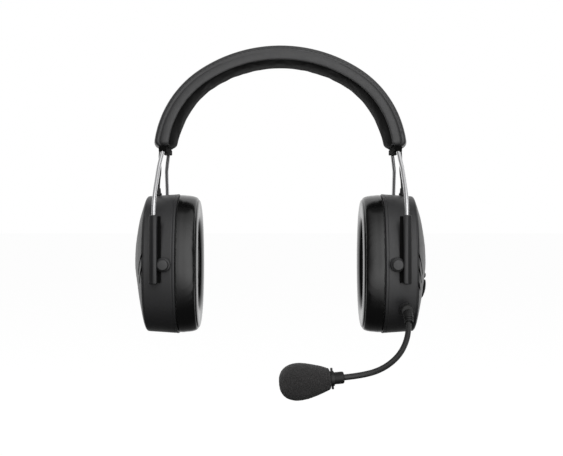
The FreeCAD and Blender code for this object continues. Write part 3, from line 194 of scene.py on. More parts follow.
def puff(piece, cap, pressure=4.0, frames=20):
    """Inflate a padded form as cloth; no point moves further than cap millimetres."""
    start = points_of(piece.data)
    cloth = piece.modifiers.new("cloth", "CLOTH")
    settings = cloth.settings
    settings.use_pressure = True
    settings.uniform_pressure_force = pressure
    settings.effector_weights.gravity = 0
    settings.quality = 6
    settings.tension_stiffness = 20
    settings.compression_stiffness = 20
    settings.bending_stiffness = 0.6
    cloth.collision_settings.use_collision = False
    for step in range(1, frames + 1):
        scene.frame_set(step)
    apply_modifiers(piece)
    moved = points_of(piece.data)
    step = moved - start
    length = np.linalg.norm(step, axis=1, keepdims=True)
    limit = cap * MM
    # the further a point would go, the closer it comes to the cap without a hard stop
    eased = limit * np.tanh(length / limit)
    set_points(piece.data, start + step * (eased / np.maximum(length, 1e-9)))
    scene.frame_set(1)
    return piece


def copy_of(node, name):
    """An own mesh with the CAD part's shape, its seams welded and its stored normals dropped."""
    mesh = frame["nodes"][node].data.copy()
    if "custom_normal" in mesh.attributes:
        mesh.attributes.remove(mesh.attributes["custom_normal"])
    work = bmesh.new()
    work.from_mesh(mesh)
    bmesh.ops.remove_doubles(work, verts=work.verts, dist=0.002 * MM)
    work.to_mesh(mesh)
    work.free()
    return add_object(name, mesh)


def catmull(points, per_span, closed=True):
    """A smooth curve through given points."""
    pts = [np.array(p, float) for p in points]
    count = len(pts)
    made = []
    spans = count if closed else count - 1
    for i in range(spans):
        if closed:
            a, b, c, d = (pts[(i + k) % count] for k in (-1, 0, 1, 2))
        else:
            a, b, c, d = pts[max(i - 1, 0)], pts[i], pts[i + 1], pts[min(i + 2, count - 1)]
        for k in range(per_span):
            t = k / per_span
            made.append(0.5 * (2 * b + (c - a) * t + (2 * a - 5 * b + 4 * c - d) * t ** 2
                               + (3 * b - a - 3 * c + d) * t ** 3))
    if not closed:
        made.append(pts[-1])
    return made


# ---- material helpers
class Paint:
    """A node material under construction; sockets that stay even all over are set directly."""

    def __init__(self, name, color, roughness, metallic=0.0, **sockets):
        self.material = bpy.data.materials.new(name)
        self.material.use_nodes = True
        self.nodes = self.material.node_tree.nodes
        self.links = self.material.node_tree.links
        self.shader = self.nodes["Principled BSDF"]
        self.color = color
        self.set("Base Color", (*color, 1))
        self.set("Roughness", roughness)
        self.set("Metallic", metallic)
        for socket, value in sockets.items():
            self.set(socket.replace("_", " "), value)
        self.place = self.nodes.new("ShaderNodeTexCoord").outputs["Object"]
        self.height = None
        self.material.diffuse_color = (*color, 1)

    def set(self, socket, value):
        self.shader.inputs[socket].default_value = value

    def stretched(self, scale):
        """Object coordinates scaled unevenly, for a grain with a direction."""
        node = self.nodes.new("ShaderNodeMapping")
        node.inputs["Scale"].default_value = scale
        self.links.new(self.place, node.inputs["Vector"])
        return node.outputs["Vector"]

    def noise(self, size, detail=3.0, rough=0.55, vector=None):
        """Noise whose features are about size millimetres across, from 0 to 1."""
        node = self.nodes.new("ShaderNodeTexNoise")
        node.inputs["Scale"].default_value = 1.0 / (size * MM)
        node.inputs["Detail"].default_value = detail
        node.inputs["Roughness"].default_value = rough
        self.links.new(vector or self.place, node.inputs["Vector"])
        return node.outputs["Fac"]

    def cells(self, size):
        """Cells about size millimetres across; the output is the distance inside each."""
        node = self.nodes.new("ShaderNodeTexVoronoi")
        node.inputs["Scale"].default_value = 1.0 / (size * MM)
        self.links.new(self.place, node.inputs["Vector"])
        return node.outputs["Distance"]

    def remap(self, value, low, high, to_low, to_high):
        node = self.nodes.new("ShaderNodeMapRange")
        for socket, number in (("From Min", low), ("From Max", high), ("To Min", to_low),
                               ("To Max", to_high)):
            node.inputs[socket].default_value = number
        self.links.new(value, node.inputs["Value"])
        return node.outputs["Result"]

    def tint(self, value, dark, light):
        """Base colour that runs between two shares of the base as value goes from 0 to 1."""
        node = self.nodes.new("ShaderNodeMix")
        node.data_type = "RGBA"
        node.inputs["A"].default_value = (*(c * dark for c in self.color), 1)
        node.inputs["B"].default_value = (*(c * light for c in self.color), 1)
        self.links.new(value, node.inputs["Factor"])
        self.links.new(node.outputs["Result"], self.shader.inputs["Base Color"])
        return self

    def gloss(self, value, low, high):
        """Roughness that follows value between low and high."""
        self.links.new(self.remap(value, 0.3, 0.7, low, high), self.shader.inputs["Roughness"])
        return self

    def bump(self, value, depth, strength=1.0):
        """Relief of depth millimetres; each call adds to the one before."""
        node = self.nodes.new("ShaderNodeBump")
        node.inputs["Strength"].default_value = strength
        node.inputs["Distance"].default_value = depth * MM
        self.links.new(value, node.inputs["Height"])
        if self.height:
            self.links.new(self.height, node.inputs["Normal"])
        self.height = node.outputs["Normal"]
        self.links.new(self.height, self.shader.inputs["Normal"])
        return self


def leatherette(name, color, roughness, coat=0.0, grain=0.55, relief=0.05, crease=0.035, haze=0.06,
                **sockets):
    """Coated fabric: pebbled grain, soft creases, slightly uneven gloss."""
    paint = Paint(name, color, roughness, Coat_Weight=coat, Coat_Roughness=0.16, **sockets)
    pebbles = paint.cells(grain)
    creases = paint.noise(3.2, 4)
    paint.tint(paint.noise(9.0, 3), 0.88, 1.12)
    paint.gloss(creases, roughness - haze, roughness + haze)
    paint.bump(pebbles, relief).bump(creases, crease)
    return paint.material


def moulded(name, color, roughness, grain=0.22, relief=0.012, **sockets):
    """Moulded plastic: fine spark-eroded grain and faint unevenness."""
    paint = Paint(name, color, roughness, **sockets)
    wide = paint.noise(14.0, 2)
    paint.tint(wide, 0.93, 1.07)
    paint.gloss(paint.noise(2.5, 3), roughness - 0.03, roughness + 0.04)
    paint.bump(paint.noise(grain, 2), relief)
    return paint.material


def rubber(name, color, roughness=0.5):
    """Moulded rubber: matt, with a faint dusty bloom."""
    paint = Paint(name, color, roughness)
    paint.tint(paint.noise(4.0, 4), 0.85, 1.18)
    paint.gloss(paint.noise(1.2, 3), roughness - 0.05, roughness + 0.06)
    paint.bump(paint.noise(0.3, 2), 0.010)
    return paint.material


def open_foam(name, color, cell, relief):
    """Open-cell foam: painted shade darkens the pores, and painted light brightens the cell walls between
    them.
    """
    paint = Paint(name, color, 0.95, Sheen_Weight=0.15, Sheen_Roughness=0.6)
    pores = paint.cells(cell)
    fine = paint.noise(cell * 0.6, 3, 0.7)
    # painted shade in the pores and painted light on the cell walls
    paint.tint(paint.remap(pores, 0.15, 0.75, 0, 1), 0.45, 1.5)
    paint.bump(pores, relief).bump(fine, relief * 0.6)
    return paint.material


def metal(name, color, roughness, streak=(1, 1, 0.04), relief=0.004, metallic=1.0):
    """Bare or plated metal with fine drawn lines and a little haze."""
    paint = Paint(name, color, roughness, metallic=metallic)
    lines = paint.noise(0.25, 3, 0.6, paint.stretched(streak))
    paint.gloss(paint.noise(5.0, 3), roughness * 0.8, roughness * 1.4)
    paint.tint(paint.noise(7.0, 3), 0.94, 1.04)
    if relief:
        paint.bump(lines, relief, 0.5)
    return paint.material


MATERIALS = {
    "band_leatherette": leatherette("band_leatherette", (0.044, 0.044, 0.045), 0.42),
    "cushion_leatherette": leatherette("cushion_leatherette", (0.004, 0.004, 0.004), 0.21,
                                       coat=0.15, grain=0.5, relief=0.0015, crease=0.004, haze=0.02),
    "pad_foam": open_foam("pad_foam", (0.030, 0.030, 0.031), 0.8, 0.20),
    "windscreen_foam": open_foam("windscreen_foam", (0.031, 0.030, 0.030), 0.75, 0.30),
    "spring_steel": metal("spring_steel", (0.55, 0.55, 0.56), 0.30),
    "rivet_steel": metal("rivet_steel", (0.58, 0.58, 0.58), 0.28),
    "screw_steel": metal("screw_steel", (0.42, 0.42, 0.42), 0.35),
    "component_metal": metal("component_metal", (0.50, 0.50, 0.50), 0.32),
    # the wire is only partly metallic, so its pale base colour adds a diffuse grey: painted reflection of
    # the bright surroundings
    "chrome_wire": metal("chrome_wire", (0.76, 0.76, 0.77), 0.16, relief=0, metallic=0.72),
    # near-black and barely glossy: besides the clips and caps, it is the painted shade inside the shell's
    # slots and in the strips beside the sliders
    "clip_plastic": moulded("clip_plastic", (0.006, 0.006, 0.006), 0.80,
                            Specular_IOR_Level=0.05),
    "slider_plastic": moulded("slider_plastic", (0.020, 0.020, 0.021), 0.40),
    "bush_nylon": moulded("bush_nylon", (0.05, 0.05, 0.05), 0.45),
    "pin_plastic": moulded("pin_plastic", (0.040, 0.040, 0.041), 0.42),
    "shell_plastic": moulded("shell_plastic", (0.030, 0.030, 0.031), 0.42),
    "baffle_plastic": moulded("baffle_plastic", (0.020, 0.020, 0.020), 0.55),
    "speaker_metal": moulded("speaker_metal", (0.06, 0.06, 0.06), 0.45),
    "control_gloss": moulded("control_gloss", (0.003, 0.003, 0.003), 0.20, relief=0.002,
                             Specular_IOR_Level=0.12),
    "boom_plastic": moulded("boom_plastic", (0.014, 0.014, 0.014), 0.45, Specular_IOR_Level=0.3),
    "battery_wrap": moulded("battery_wrap", (0.40, 0.41, 0.44), 0.30),
    "board_laminate": moulded("board_laminate", (0.015, 0.09, 0.04), 0.35),
    "cable_jacket": rubber("cable_jacket", (0.012, 0.012, 0.012)),
    "grommet_rubber": rubber("grommet_rubber", (0.008, 0.008, 0.008)),
    "boom_rubber": rubber("boom_rubber", (0.022, 0.022, 0.022), 0.45),
}
# a darker, matter copy of the band's leatherette for the pad under the band: painted shade of its
# downward-facing underside
BAND_UNDERSIDE_SHADE = leatherette("band_underside_shade", (0.016, 0.016, 0.016), 0.75, grain=0.8, relief=0.03,
                          Specular_IOR_Level=0.12)
SLOT_OF = {part["node"]: part["material_slot"] for part in frame["record"]["subparts"]}


def dress(piece, slot):
    piece.data.materials.clear()
    piece.data.materials.append(MATERIALS[slot])
    return piece


def eased(node, width=0.3, flat=2):
    """The CAD part with its edges rounded; faces within that many degrees become one first."""
    piece = copy_of(node, node + "_eased")
    work = bmesh.new()
    work.from_mesh(piece.data)
    bmesh.ops.dissolve_limit(work, angle_limit=math.radians(flat), verts=work.verts, edges=work.edges)
    work.to_mesh(piece.data)
    work.free()
    bevel = piece.modifiers.new("edges", "BEVEL")
    bevel.width = width * MM
    bevel.segments = 2
    bevel.limit_method = "ANGLE"
    bevel.angle_limit = math.radians(35)
    apply_modifiers(piece)
    shade(piece.data, 45)
    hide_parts(node)
    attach(piece, frame["nodes"][node]["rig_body"])
    return dress(piece, SLOT_OF[node])


for node_name, node in frame["nodes"].items():
    dress(node, SLOT_OF[node_name])


# ---- headband
# the band's line, as in the CAD: two tangent arcs on each side of the crown
CROWN_RADIUS = 108.8
SHOULDER_RADIUS = 76.0
SHOULDER_START = 33.0
BAND_END = 84.0
PAD_EDGE = 10.5
TOP_CROWN = 2.0
HALF_WIDTH = (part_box("headband_cover")[1].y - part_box("headband_cover")[0].y) / MM / 2
TOP_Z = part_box("headband_cover")[1].z / MM
CROWN_C = Vector((0, 0, TOP_Z - TOP_CROWN - CROWN_RADIUS))
END_ROUND = 4.0
BAND_MIDDLE = 8.0          # depth towards which the rounded ends draw in
LEVEL_START = 74.0         # degrees from which the outer side runs on, and how far at the end
LEVEL_ANGLE = 1.3
LEVEL_DEPTH = 15.0
SEAM_CROWN = 4.6           # the welt's seam below the upper edge, at the crown and at the ends
SEAM_END = 3.9
STITCH_PITCH = 3.6
STITCH_DEPTH = 2.3         # the stitching below the pad's upper edge
STITCH_LENGTH = 2.5
THREAD_WIDTH = 0.42
PAD_SLACK = 0.7            # room left for the band's padding to swell into


def outward(angle):
    turn = math.radians(angle)
    return Vector((math.sin(turn), 0, math.cos(turn)))


SHOULDER_C = CROWN_C + outward(SHOULDER_START) * (CROWN_RADIUS - SHOULDER_RADIUS)


def band_place(angle):
    """Centre and radius of the band's arc at an angle from the crown, either side."""
    if abs(angle) <= SHOULDER_START:
        return CROWN_C, CROWN_RADIUS
    side = 1 if angle > 0 else -1
    return Vector((side * SHOULDER_C.x, 0, SHOULDER_C.z)), SHOULDER_RADIUS


def band_point(angle, depth, y):
    """A point of the band; near the ends its outer side runs on, so that the ends come out level."""
    reach = max(abs(angle) - LEVEL_START, 0) / (BAND_END - LEVEL_START)
    more = LEVEL_ANGLE * reach ** 2 * (1 - depth / LEVEL_DEPTH)
    angle += math.copysign(max(more, 0.0), angle)
    centre, radius = band_place(angle)
    return (centre + outward(angle) * (radius - depth) + Vector((0, y, 0))) * MM


def band_angles(step):
    """Angles from end to end of the band, closer together where the ends are rounded."""
    reach = math.degrees(END_ROUND / SHOULDER_RADIUS)
    tip = [BAND_END - reach * (1 - math.sin(math.radians(a))) for a in range(90, 0, -10)]
    count = round((BAND_END - reach) / step)
    run = [(BAND_END - reach) * i / count for i in range(count + 1)]
    half = run + tip[::-1]
    return [-a for a in half[:0:-1]] + half


def end_inset(angle):
    """How far the section draws in where the end is rounded."""
    short = (BAND_END - abs(angle)) * math.radians(1) * SHOULDER_RADIUS
    if short >= END_ROUND:
        return 0.0
    return END_ROUND - math.sqrt(max(END_ROUND ** 2 - (END_ROUND - short) ** 2, 0.0))


def seam_depth(angle):
    """The welt is a little wider over the crown than at the ends."""
    return SEAM_CROWN + (SEAM_END - SEAM_CROWN) * abs(angle) / BAND_END


def cover_outline(angle):
    """Section of the cover as (depth, y): piped upper edge, full lower face, crisp lower edge."""
    w = HALF_WIDTH
    seam = seam_depth(angle)
    sunk = 0.30 + 0.35 * abs(angle) / BAND_END
    side = [
        (0.15, w - 2.6), (0.35, w - 1.5), (0.85, w - 0.72), (1.5, w - 0.30), (2.3, w - 0.10),
        (seam - 0.9, w - 0.08), (seam - 0.45, w - 0.5 * sunk), (seam, w - sunk),
        (seam + 0.45, w - 0.45 * sunk), (seam + 1.0, w - 0.05), (seam + 2.4, w + 0.25),
        (PAD_EDGE - 1.4, w + 0.22), (PAD_EDGE - 0.4, w + 0.02), (PAD_EDGE - 0.05, w - 0.22),
        (PAD_EDGE + 0.1, w - 0.6), (PAD_EDGE - 0.1, w - 1.2), (PAD_EDGE - 0.9, w - 1.9),
    ]
    top = [(0.15 - (TOP_CROWN + 0.15) * (1 - (k / 7) ** 2), k / 7 * (w - 2.6)) for k in range(-6, 7)]
    under = [(PAD_EDGE - 1.6, y) for y in (w - 3.5, w / 2, 0, -w / 2, 3.5 - w)]
    return top + side + under + [(d, -y) for d, y in reversed(side)]


def underside(angle):
    """How far the cushioned underside bulges: deeper towards the ends."""
    return 2.5 + 3.4 * (abs(angle) / BAND_END) ** 1.6


def cushion_outline(angle):
    """Section of the underside cushion before its padding swells."""
    w = HALF_WIDTH - 0.8
    bulge = underside(angle) - PAD_SLACK
    low = []
    for k in range(-8, 9):
        share = k / 8
        low.append((PAD_EDGE - 0.4 + bulge * (1 - abs(share) ** 3.2), share * (w - PAD_SLACK)))
    high = [(PAD_EDGE - 2.6, y) for y in (w - 1.2, w / 2, 0, -w / 2, 1.2 - w)]
    return low + high


def swept(name, outline, step):
    """Sweep an outline from end to end of the band, drawing it in at the rounded ends."""
    rings = []
    for angle in band_angles(step):
        inset = end_inset(angle)
        ring = []
        for depth, y in outline(angle):
            away = depth - BAND_MIDDLE
            keep_depth = max(abs(away) - inset, 0.15) / max(abs(away), 0.15)
            keep_y = max(HALF_WIDTH - inset, 1.0) / HALF_WIDTH
            ring.append(band_point(angle, BAND_MIDDLE + away * min(keep_depth, 1.0), y * keep_y))
        rings.append(ring)
    return skin(name, rings, sharp=50)


def make_cover():
    cover = swept("headband_cover_skin", cover_outline, 0.8)
    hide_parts("headband_cover")
    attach(cover, "headband")
    return dress(cover, "band_leatherette")


def make_band_cushion():
    pad = swept("headband_cushion", cushion_outline, 1.5)
    remesh(pad, 2.2, 2)
    puff(pad, 0.8)
    subdivide(pad)
    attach(pad, "headband")
    dress(pad, "band_leatherette")
    # the underside pad takes the darker copy of the leatherette: painted shade
    pad.data.materials[0] = BAND_UNDERSIDE_SHADE


def capsule(at, along, up, length, width):
    """Rings of a small rounded thread stitch."""
    side = along.cross(up).normalized()
    rings = []
    for share, size in ((-0.5, 0.3), (-0.38, 0.85), (0, 1.0), (0.38, 0.85), (0.5, 0.3)):
        middle = at + along * (length * share) + up * (width * 0.5 * (size - 0.6))
        rings.append(circle(middle, side, up, width / 2 * size, 6))
    return rings


def joined_rings(name, groups):
    """One mesh of many small capped skins."""
    verts, faces = [], []
    for rings in groups:
        first, count = len(verts), len(rings[0])
        verts += [tuple(p) for ring in rings for p in ring]
        for i in range(len(rings) - 1):
            for j in range(count):
                a, b = first + i * count, first + (i + 1) * count
                k = (j + 1) % count
                faces.append((a + j, a + k, b + k, b + j))
        faces.append(tuple(range(first, first + count)))
        faces.append(tuple(range(first + (len(rings) - 1) * count, first + len(rings) * count)))
    mesh = bpy.data.meshes.new(name)
    mesh.from_pydata(verts, [], faces)
    shade(mesh, 60)
    return add_object(name, mesh)


def make_stitching():
    groups = []
    for side in (-1, 1):
        for sign in (-1, 1):
            angle = 0.5 * math.degrees(STITCH_PITCH / CROWN_RADIUS)
            while angle < BAND_END - 5:
                radius = band_place(angle)[1]
                at = band_point(sign * angle, STITCH_DEPTH, side * (HALF_WIDTH - 0.02))
                out = outward(sign * angle)
                along = Vector((out.z, 0, -out.x))
                groups.append(capsule(at, along, Vector((0, side, 0)), STITCH_LENGTH * MM,
                                      THREAD_WIDTH * MM))
                angle += math.degrees(STITCH_PITCH / radius)
    thread = joined_rings("headband_stitching", groups)
    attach(thread, "headband")
    return dress(thread, "band_leatherette")


make_cover()
make_band_cushion()
make_stitching()


# ---- oval forms of the ear cups
CUP_Z = -149.3
CUP_X = 76.3               # rim plane
CREASE_X = 100.0
RIM_HALF = (52.7, 37.2)    # half height and half width at the rim
CREASE_HALF = (51.1, 36.0)
DOME_RISE = 10.0
END_SHARE = 0.914


class Oval:
    """Oval of four tangent arcs; points are matched between sizes by the way they face."""

    def __init__(self, half_z, half_y):
        self.end_r = END_SHARE * half_y
        self.rise = half_z - self.end_r
        self.side_r = (self.rise ** 2 + half_y ** 2 - self.end_r ** 2) / (2 * (half_y - self.end_r))
        self.side_c = self.side_r - half_y
        self.turn = math.atan2(self.rise, self.side_c)

    def at(self, facing):
        """Point (y, z) whose outward direction has that angle from +Y towards +Z."""
        c, s = math.cos(facing), math.sin(facing)
        if abs(s) > math.sin(self.turn):
            return Vector((self.end_r * c, math.copysign(self.rise, s) + self.end_r * s))
        return Vector((-math.copysign(self.side_c, c) + self.side_r * c, self.side_r * s))

    def facings(self, count):
        """Directions of points evenly spaced round the oval."""
        dense = [2 * math.pi * i / 4000 for i in range(4001)]
        places = [self.at(t) for t in dense]
        run = np.concatenate([[0], np.cumsum([(b - a).length for a, b in zip(places, places[1:])])])
        return list(np.interp(np.arange(count) / count * run[-1], run, dense))

    def depth(self, y, z):
        """How far points lie inside the oval, for arrays of y and z."""
        ay, az = np.abs(y), np.abs(z)
        side = np.arctan2(az, ay + self.side_c) < self.turn
        from_side = self.side_r - np.hypot(ay + self.side_c, az)
        from_end = self.end_r - np.hypot(ay, az - self.rise)
        return np.where(side, from_side, from_end)

    def outward(self, y, z):
        """Unit directions (y, z) out of the oval at arrays of points."""
        ay, az = np.abs(y), np.abs(z)
        side = np.arctan2(az, ay + self.side_c) < self.turn
        away = np.stack([np.where(side, ay + self.side_c, ay), np.where(side, az, az - self.rise)], axis=1)
        away /= np.maximum(np.linalg.norm(away, axis=1, keepdims=True), 1e-9)
        return away * np.stack([np.sign(y), np.sign(z)], axis=1)


def oval_ring(oval, facings, inward, x, side, share=1.0, up=0.0):
    """A ring at X = x, moved inward from the oval, scaled about its middle and shifted up."""
    ring = []
    for t in facings:
        y, z = oval.at(t)
        y, z = (y - inward * math.cos(t)) * share, (z - inward * math.sin(t)) * share
        ring.append(Vector((side * x, y, CUP_Z + z + up)) * MM)
    return ring


# ---- shells
DOME = [(0.12, 0.940, 0.0), (0.26, 0.845, 0.8), (0.48, 0.675, 2.5), (0.68, 0.475, 3.6),
        (0.86, 0.280, 3.4), (0.97, 0.110, 0.6), (0.99, 0.030, 0.0)]
LIP_WIDTH = 1.9
GROOVES = [(11.5, 12.0, 18.0), (1.5, 9.0, 14.0), (-9.0, 6.5, 8.5)]
GROOVE_FRONT_Y = -38.0
GROOVE_WIDTH = 1.9
GROOVE_DEPTH = 1.7
CREASE_POINTS = 4          # points at the start of the dome's curve that the softened crease replaces


def shell_wall():
    """(inward from the rim oval, x, share, up) of the wall from the lip to the crease."""
    draft = (RIM_HALF[0] - CREASE_HALF[0]) / (CREASE_X - CUP_X)
    lip = CUP_X + LIP_WIDTH
    return [(draft * (x - CUP_X), x, 1.0, 0.0) for x in np.linspace(lip + 0.7, CREASE_X - 1.2, 26)]


def shell_profile():
    """The same from inside the rim over the lip to the end of the wall."""
    lip = CUP_X + LIP_WIDTH
    steps = [(3.0, CUP_X + 2.5), (2.4, CUP_X + 0.3), (2.1, CUP_X), (0.45, CUP_X), (0.08, CUP_X + 0.3),
             (0.0, CUP_X + 0.8), (0.02, lip - 0.4), (0.10, lip - 0.1), (0.34, lip), (0.40, lip + 0.22),
             (0.22, lip + 0.36)]
    return [(inward, x, 1.0, 0.0) for inward, x in steps] + shell_wall()


def dome_rings(facings, side):
    """Rings from the softened crease to the middle of the dome."""
    crease = Oval(*CREASE_HALF)
    soft = [(0.0, -1.0), (0.05, -0.6), (0.22, -0.22), (0.60, 0.10)]
    rings = [oval_ring(crease, facings, inward, CREASE_X + x, side) for inward, x in soft]
    knots = [(0.0, 1.0, 0.0)] + DOME
    curve = catmull(knots, 9, closed=False)
    for rise, share, up in curve[CREASE_POINTS:]:
        rings.append(oval_ring(crease, facings, 0.0, CREASE_X + DOME_RISE * rise, side, share, up))
    return rings


def groove_tools(side):
    """Slot cutters that follow the dome's front edge at an even depth."""
    tools = []
    for start, back, down in GROOVES:
        length = math.hypot(back, down)
        along = Vector((0, back / length, -down / length))
        across = Vector((0, down / length, back / length))
        base = Vector((side * (CREASE_X - 0.4), GROOVE_FRONT_Y, CUP_Z + start))
        outline = []
        for k in range(9):
            turn = math.pi * k / 8 - math.pi / 2
            outline.append(along * (length + GROOVE_WIDTH / 2 * math.cos(turn))
                           + across * (GROOVE_WIDTH / 2 * math.sin(turn)))
        outline += [across * (GROOVE_WIDTH / 2), across * (-GROOVE_WIDTH / 2)]
        rings = [[(base + Vector((side * x, 0, 0)) + p) * MM for p in outline] for x in (0, 2 * DOME_RISE)]
        tools.append(rings)
    return tools


def slot_shade_tone(piece, index):
    """Shell plastic, and a near-black matt plastic that paints shade inside the slots; index picks which one
    the faces have.
    """
    for slot in ("shell_plastic", "clip_plastic"):
        piece.data.materials.append(MATERIALS[slot])
    for face in piece.data.polygons:
        face.material_index = index


def cut_grooves(shell, side):
    """Cut the slots down to an even depth: what each tool leaves is the shell moved in."""
    facings = Oval(*RIM_HALF).facings(120)
    core_rings = []
    crease = Oval(*CREASE_HALF)
    for inward, x, share, up in shell_wall():
        core_rings.append(oval_ring(Oval(*RIM_HALF), facings, inward + GROOVE_DEPTH, x, side, share, up))
    for rise, share, up in catmull([(0.0, 1.0, 0.0)] + DOME, 6, closed=False):
        core_rings.append(oval_ring(crease, facings, GROOVE_DEPTH,
                                    CREASE_X - GROOVE_DEPTH + DOME_RISE * rise, side, share, up))
    core = skin("groove_core", core_rings)
    # the core and the tools carry the near-black plastic, so the faces the cuts leave inside the slots show
    # painted shade
    slot_shade_tone(core, 1)
    slot_shade_tone(shell, 0)
    for index, rings in enumerate(groove_tools(side)):
        tool = joined_rings("groove_tool", [rings])
        slot_shade_tone(tool, 1)
        for target, cutter in ((tool, core), (shell, tool)):
            cut = target.modifiers.new("cut", "BOOLEAN")
            cut.operation = "DIFFERENCE"
            cut.solver = "EXACT"
            cut.object = cutter
            apply_modifiers(target)
        bpy.data.objects.remove(tool)
    bpy.data.objects.remove(core)


def make_shell(name, side):
    rim = Oval(*RIM_HALF)
    facings = rim.facings(220)
    rings = [oval_ring(rim, facings, inward, x, side, share, up) for inward, x, share, up in shell_profile()]
    rings += dome_rings(facings, side)
    shell = skin(name + "_shell_skin", rings, sharp=40)
    cut_grooves(shell, side)
    shade(shell.data, 40)
    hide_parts(name + "_shell")
    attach(shell, name + "_cup")
    return shell


for side_name, side_sign in SIDES.items():
    make_shell(side_name, side_sign)


# ---- ear cushions and foam discs
CUSHION_HALF = (52.2, 38.3)
CUSHION_BACK = 75.1
CUSHION_SLACK = 0.5        # room left for the padding to swell into
SEAM_INWARD = 3.4          # welded seam round the head side of the cushion
SEAM_WIDTH = 0.55
SEAM_DEPTH = 0.45
SEAM_SIDE = 66.0           # the seam is pressed on the head's side of this plane
RIM_SEAT = 76.1            # the padding meets the shell's rim here, and the seal ring inside it
RIM_REACH = 2.3
EDGE_FROM = 70.5           # the padding's side runs out square to its back edge between these planes
EDGE_FULL = 73.0
EDGE_INWARD = 0.2
EDGE_REACH = 1.7
DISC_DOME = 0.9            # rise of the foam disc, and its unevenness with the size of that
DISC_LUMP = 0.25
DISC_LUMP_SIZE = 5


def cushion_section():
    """Section through the padding as (inward, x), from the back round the outer side."""
    s = CUSHION_SLACK
    return [
        (2.1, RIM_SEAT), (0.4 + s, RIM_SEAT), (0.15 + s, RIM_SEAT - 0.6), (-0.05 + s, 73.2),
        (-0.05 + s, 70.2), (0.35 + s, 66.8), (1.05 + s, 64.2), (1.65 + s, 62.8 + s / 2), (2.3 + s, 61.9 + s),
        (3.6, 61.1 + s), (7.0, 60.4 + s), (12.0, 60.1 + s), (16.0, 60.6 + s), (18.6 - s, 61.9 + s),
        (20.0 - s, 64.4 + s / 2), (20.4 - s, 68.5), (20.2 - s, 72.2), (19.2 - s, 74.4),
        (14.0, CUSHION_BACK), (7.0, CUSHION_BACK), (2.9, CUSHION_BACK),
    ]


def seat_cushion(piece, oval, side):
    """Square the padding's back edge and press it against the shell's rim and the seal ring inside."""
    co = points_of(piece.data) / MM
    inward = oval.depth(co[:, 1], co[:, 2] - CUP_Z)
    near = np.clip((side * co[:, 0] - EDGE_FROM) / (EDGE_FULL - EDGE_FROM), 0, 1) * (inward < EDGE_REACH)
    co[:, 1:] += oval.outward(co[:, 1], co[:, 2] - CUP_Z) * (near * (inward - EDGE_INWARD))[:, None]
    inward = oval.depth(co[:, 1], co[:, 2] - CUP_Z)
    limit = np.where(inward < RIM_REACH, RIM_SEAT, CUSHION_BACK)
    co[:, 0] = side * np.minimum(side * co[:, 0], limit)
    set_points(piece.data, co * MM)


def press_seam(piece, oval, side):
    """A narrow welded line where the side of the cushion turns into its face."""
    co = points_of(piece.data) / MM
    inward = oval.depth(co[:, 1], co[:, 2] - CUP_Z)
    x = side * co[:, 0]
    near = np.exp(-((inward - SEAM_INWARD) / SEAM_WIDTH) ** 2) * (x < SEAM_SIDE)
    co[:, 0] += side * SEAM_DEPTH * near
    set_points(piece.data, co * MM)


def make_cushion(name, side):
    oval = Oval(*CUSHION_HALF)
    facings = oval.facings(150)
    section = catmull(cushion_section(), 3)
    rings = [oval_ring(oval, facings, inward, x, side) for inward, x in section]
    pad = skin(name + "_cushion_pad", rings, loop=True)
    remesh(pad, 1.5, 1)
    puff(pad, 0.7)
    subdivide(pad)
    seat_cushion(pad, oval, side)
    press_seam(pad, oval, side)
    shade(pad.data, 70)
    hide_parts(name + "_cushion")
    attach(pad, name + "_cup")
    return dress(pad, "cushion_leatherette")


def make_ear_foam(name, side):
    """Thin fabric-faced foam disc inside the cushion, softly domed with a pressed edge."""
    low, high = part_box(name + "_ear_foam")
    front = min(abs(low.x), abs(high.x)) / MM
    back = max(abs(low.x), abs(high.x)) / MM
    oval = Oval((high.z - low.z) / MM / 2, (high.y - low.y) / MM / 2)
    facings = oval.facings(110)
    edge = [(0.6, back), (0, back - 1), (0.1, front + 1.2), (0.7, front + 0.6)]
    rings = [oval_ring(oval, facings, inward, x, side) for inward, x in edge]
    for k in range(1, 24):
        share = 1 - k / 24
        rise = DISC_DOME * math.sin(math.pi / 2 * min(1.0, 2.2 * (1 - share)))
        rings.append(oval_ring(oval, facings, 0.7 * share, front + 0.6 - rise, side, share))
    disc = skin(name + "_ear_foam_disc", rings)
    co = points_of(disc.data)
    for i, p in enumerate(co):
        co[i, 0] += side * DISC_LUMP * MM * noise.noise(Vector(p) / (DISC_LUMP_SIZE * MM))
    set_points(disc.data, co)
    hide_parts(name + "_ear_foam")
    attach(disc, name + "_cup")
    return dress(disc, "pad_foam")


for side_name, side_sign in SIDES.items():
    make_cushion(side_name, side_sign)
    make_ear_foam(side_name, side_sign)


# ---- tubes along smooth routes
def smooth_route(points):
    """Closely spaced points of a NURBS line with those control points, in millimetres."""
    curve = bpy.data.curves.new("route", "CURVE")
    curve.dimensions = "3D"
    spline = curve.splines.new("NURBS")
    spline.points.add(len(points) - 1)
    for point, at in zip(spline.points, points):
        point.co = (*(Vector(at) * MM), 1)
    spline.order_u = 3
    spline.use_endpoint_u = True
    spline.resolution_u = 24
    line = bpy.data.objects.new("route", curve)
    scene.collection.objects.link(line)
    mesh = bpy.data.meshes.new_from_object(line)
    route = [v.co.copy() for v in mesh.vertices]
    bpy.data.objects.remove(line)
    return route


def tube(name, route, radius, sides):
    """Round skin along a route in metres."""
    rings = []
    up = Vector((0, 0, 1))
    for i, at in enumerate(route):
        ahead = (route[min(i + 1, len(route) - 1)] - route[max(i - 1, 0)]).normalized()
        side = ahead.cross(up).normalized()
        up = side.cross(ahead).normalized()
        rings.append(circle(at, side, up, radius * MM, sides))
    return skin(name, rings)


def nearest(route, at):
    return min(range(len(route)), key=lambda i: (route[i] - at).length)


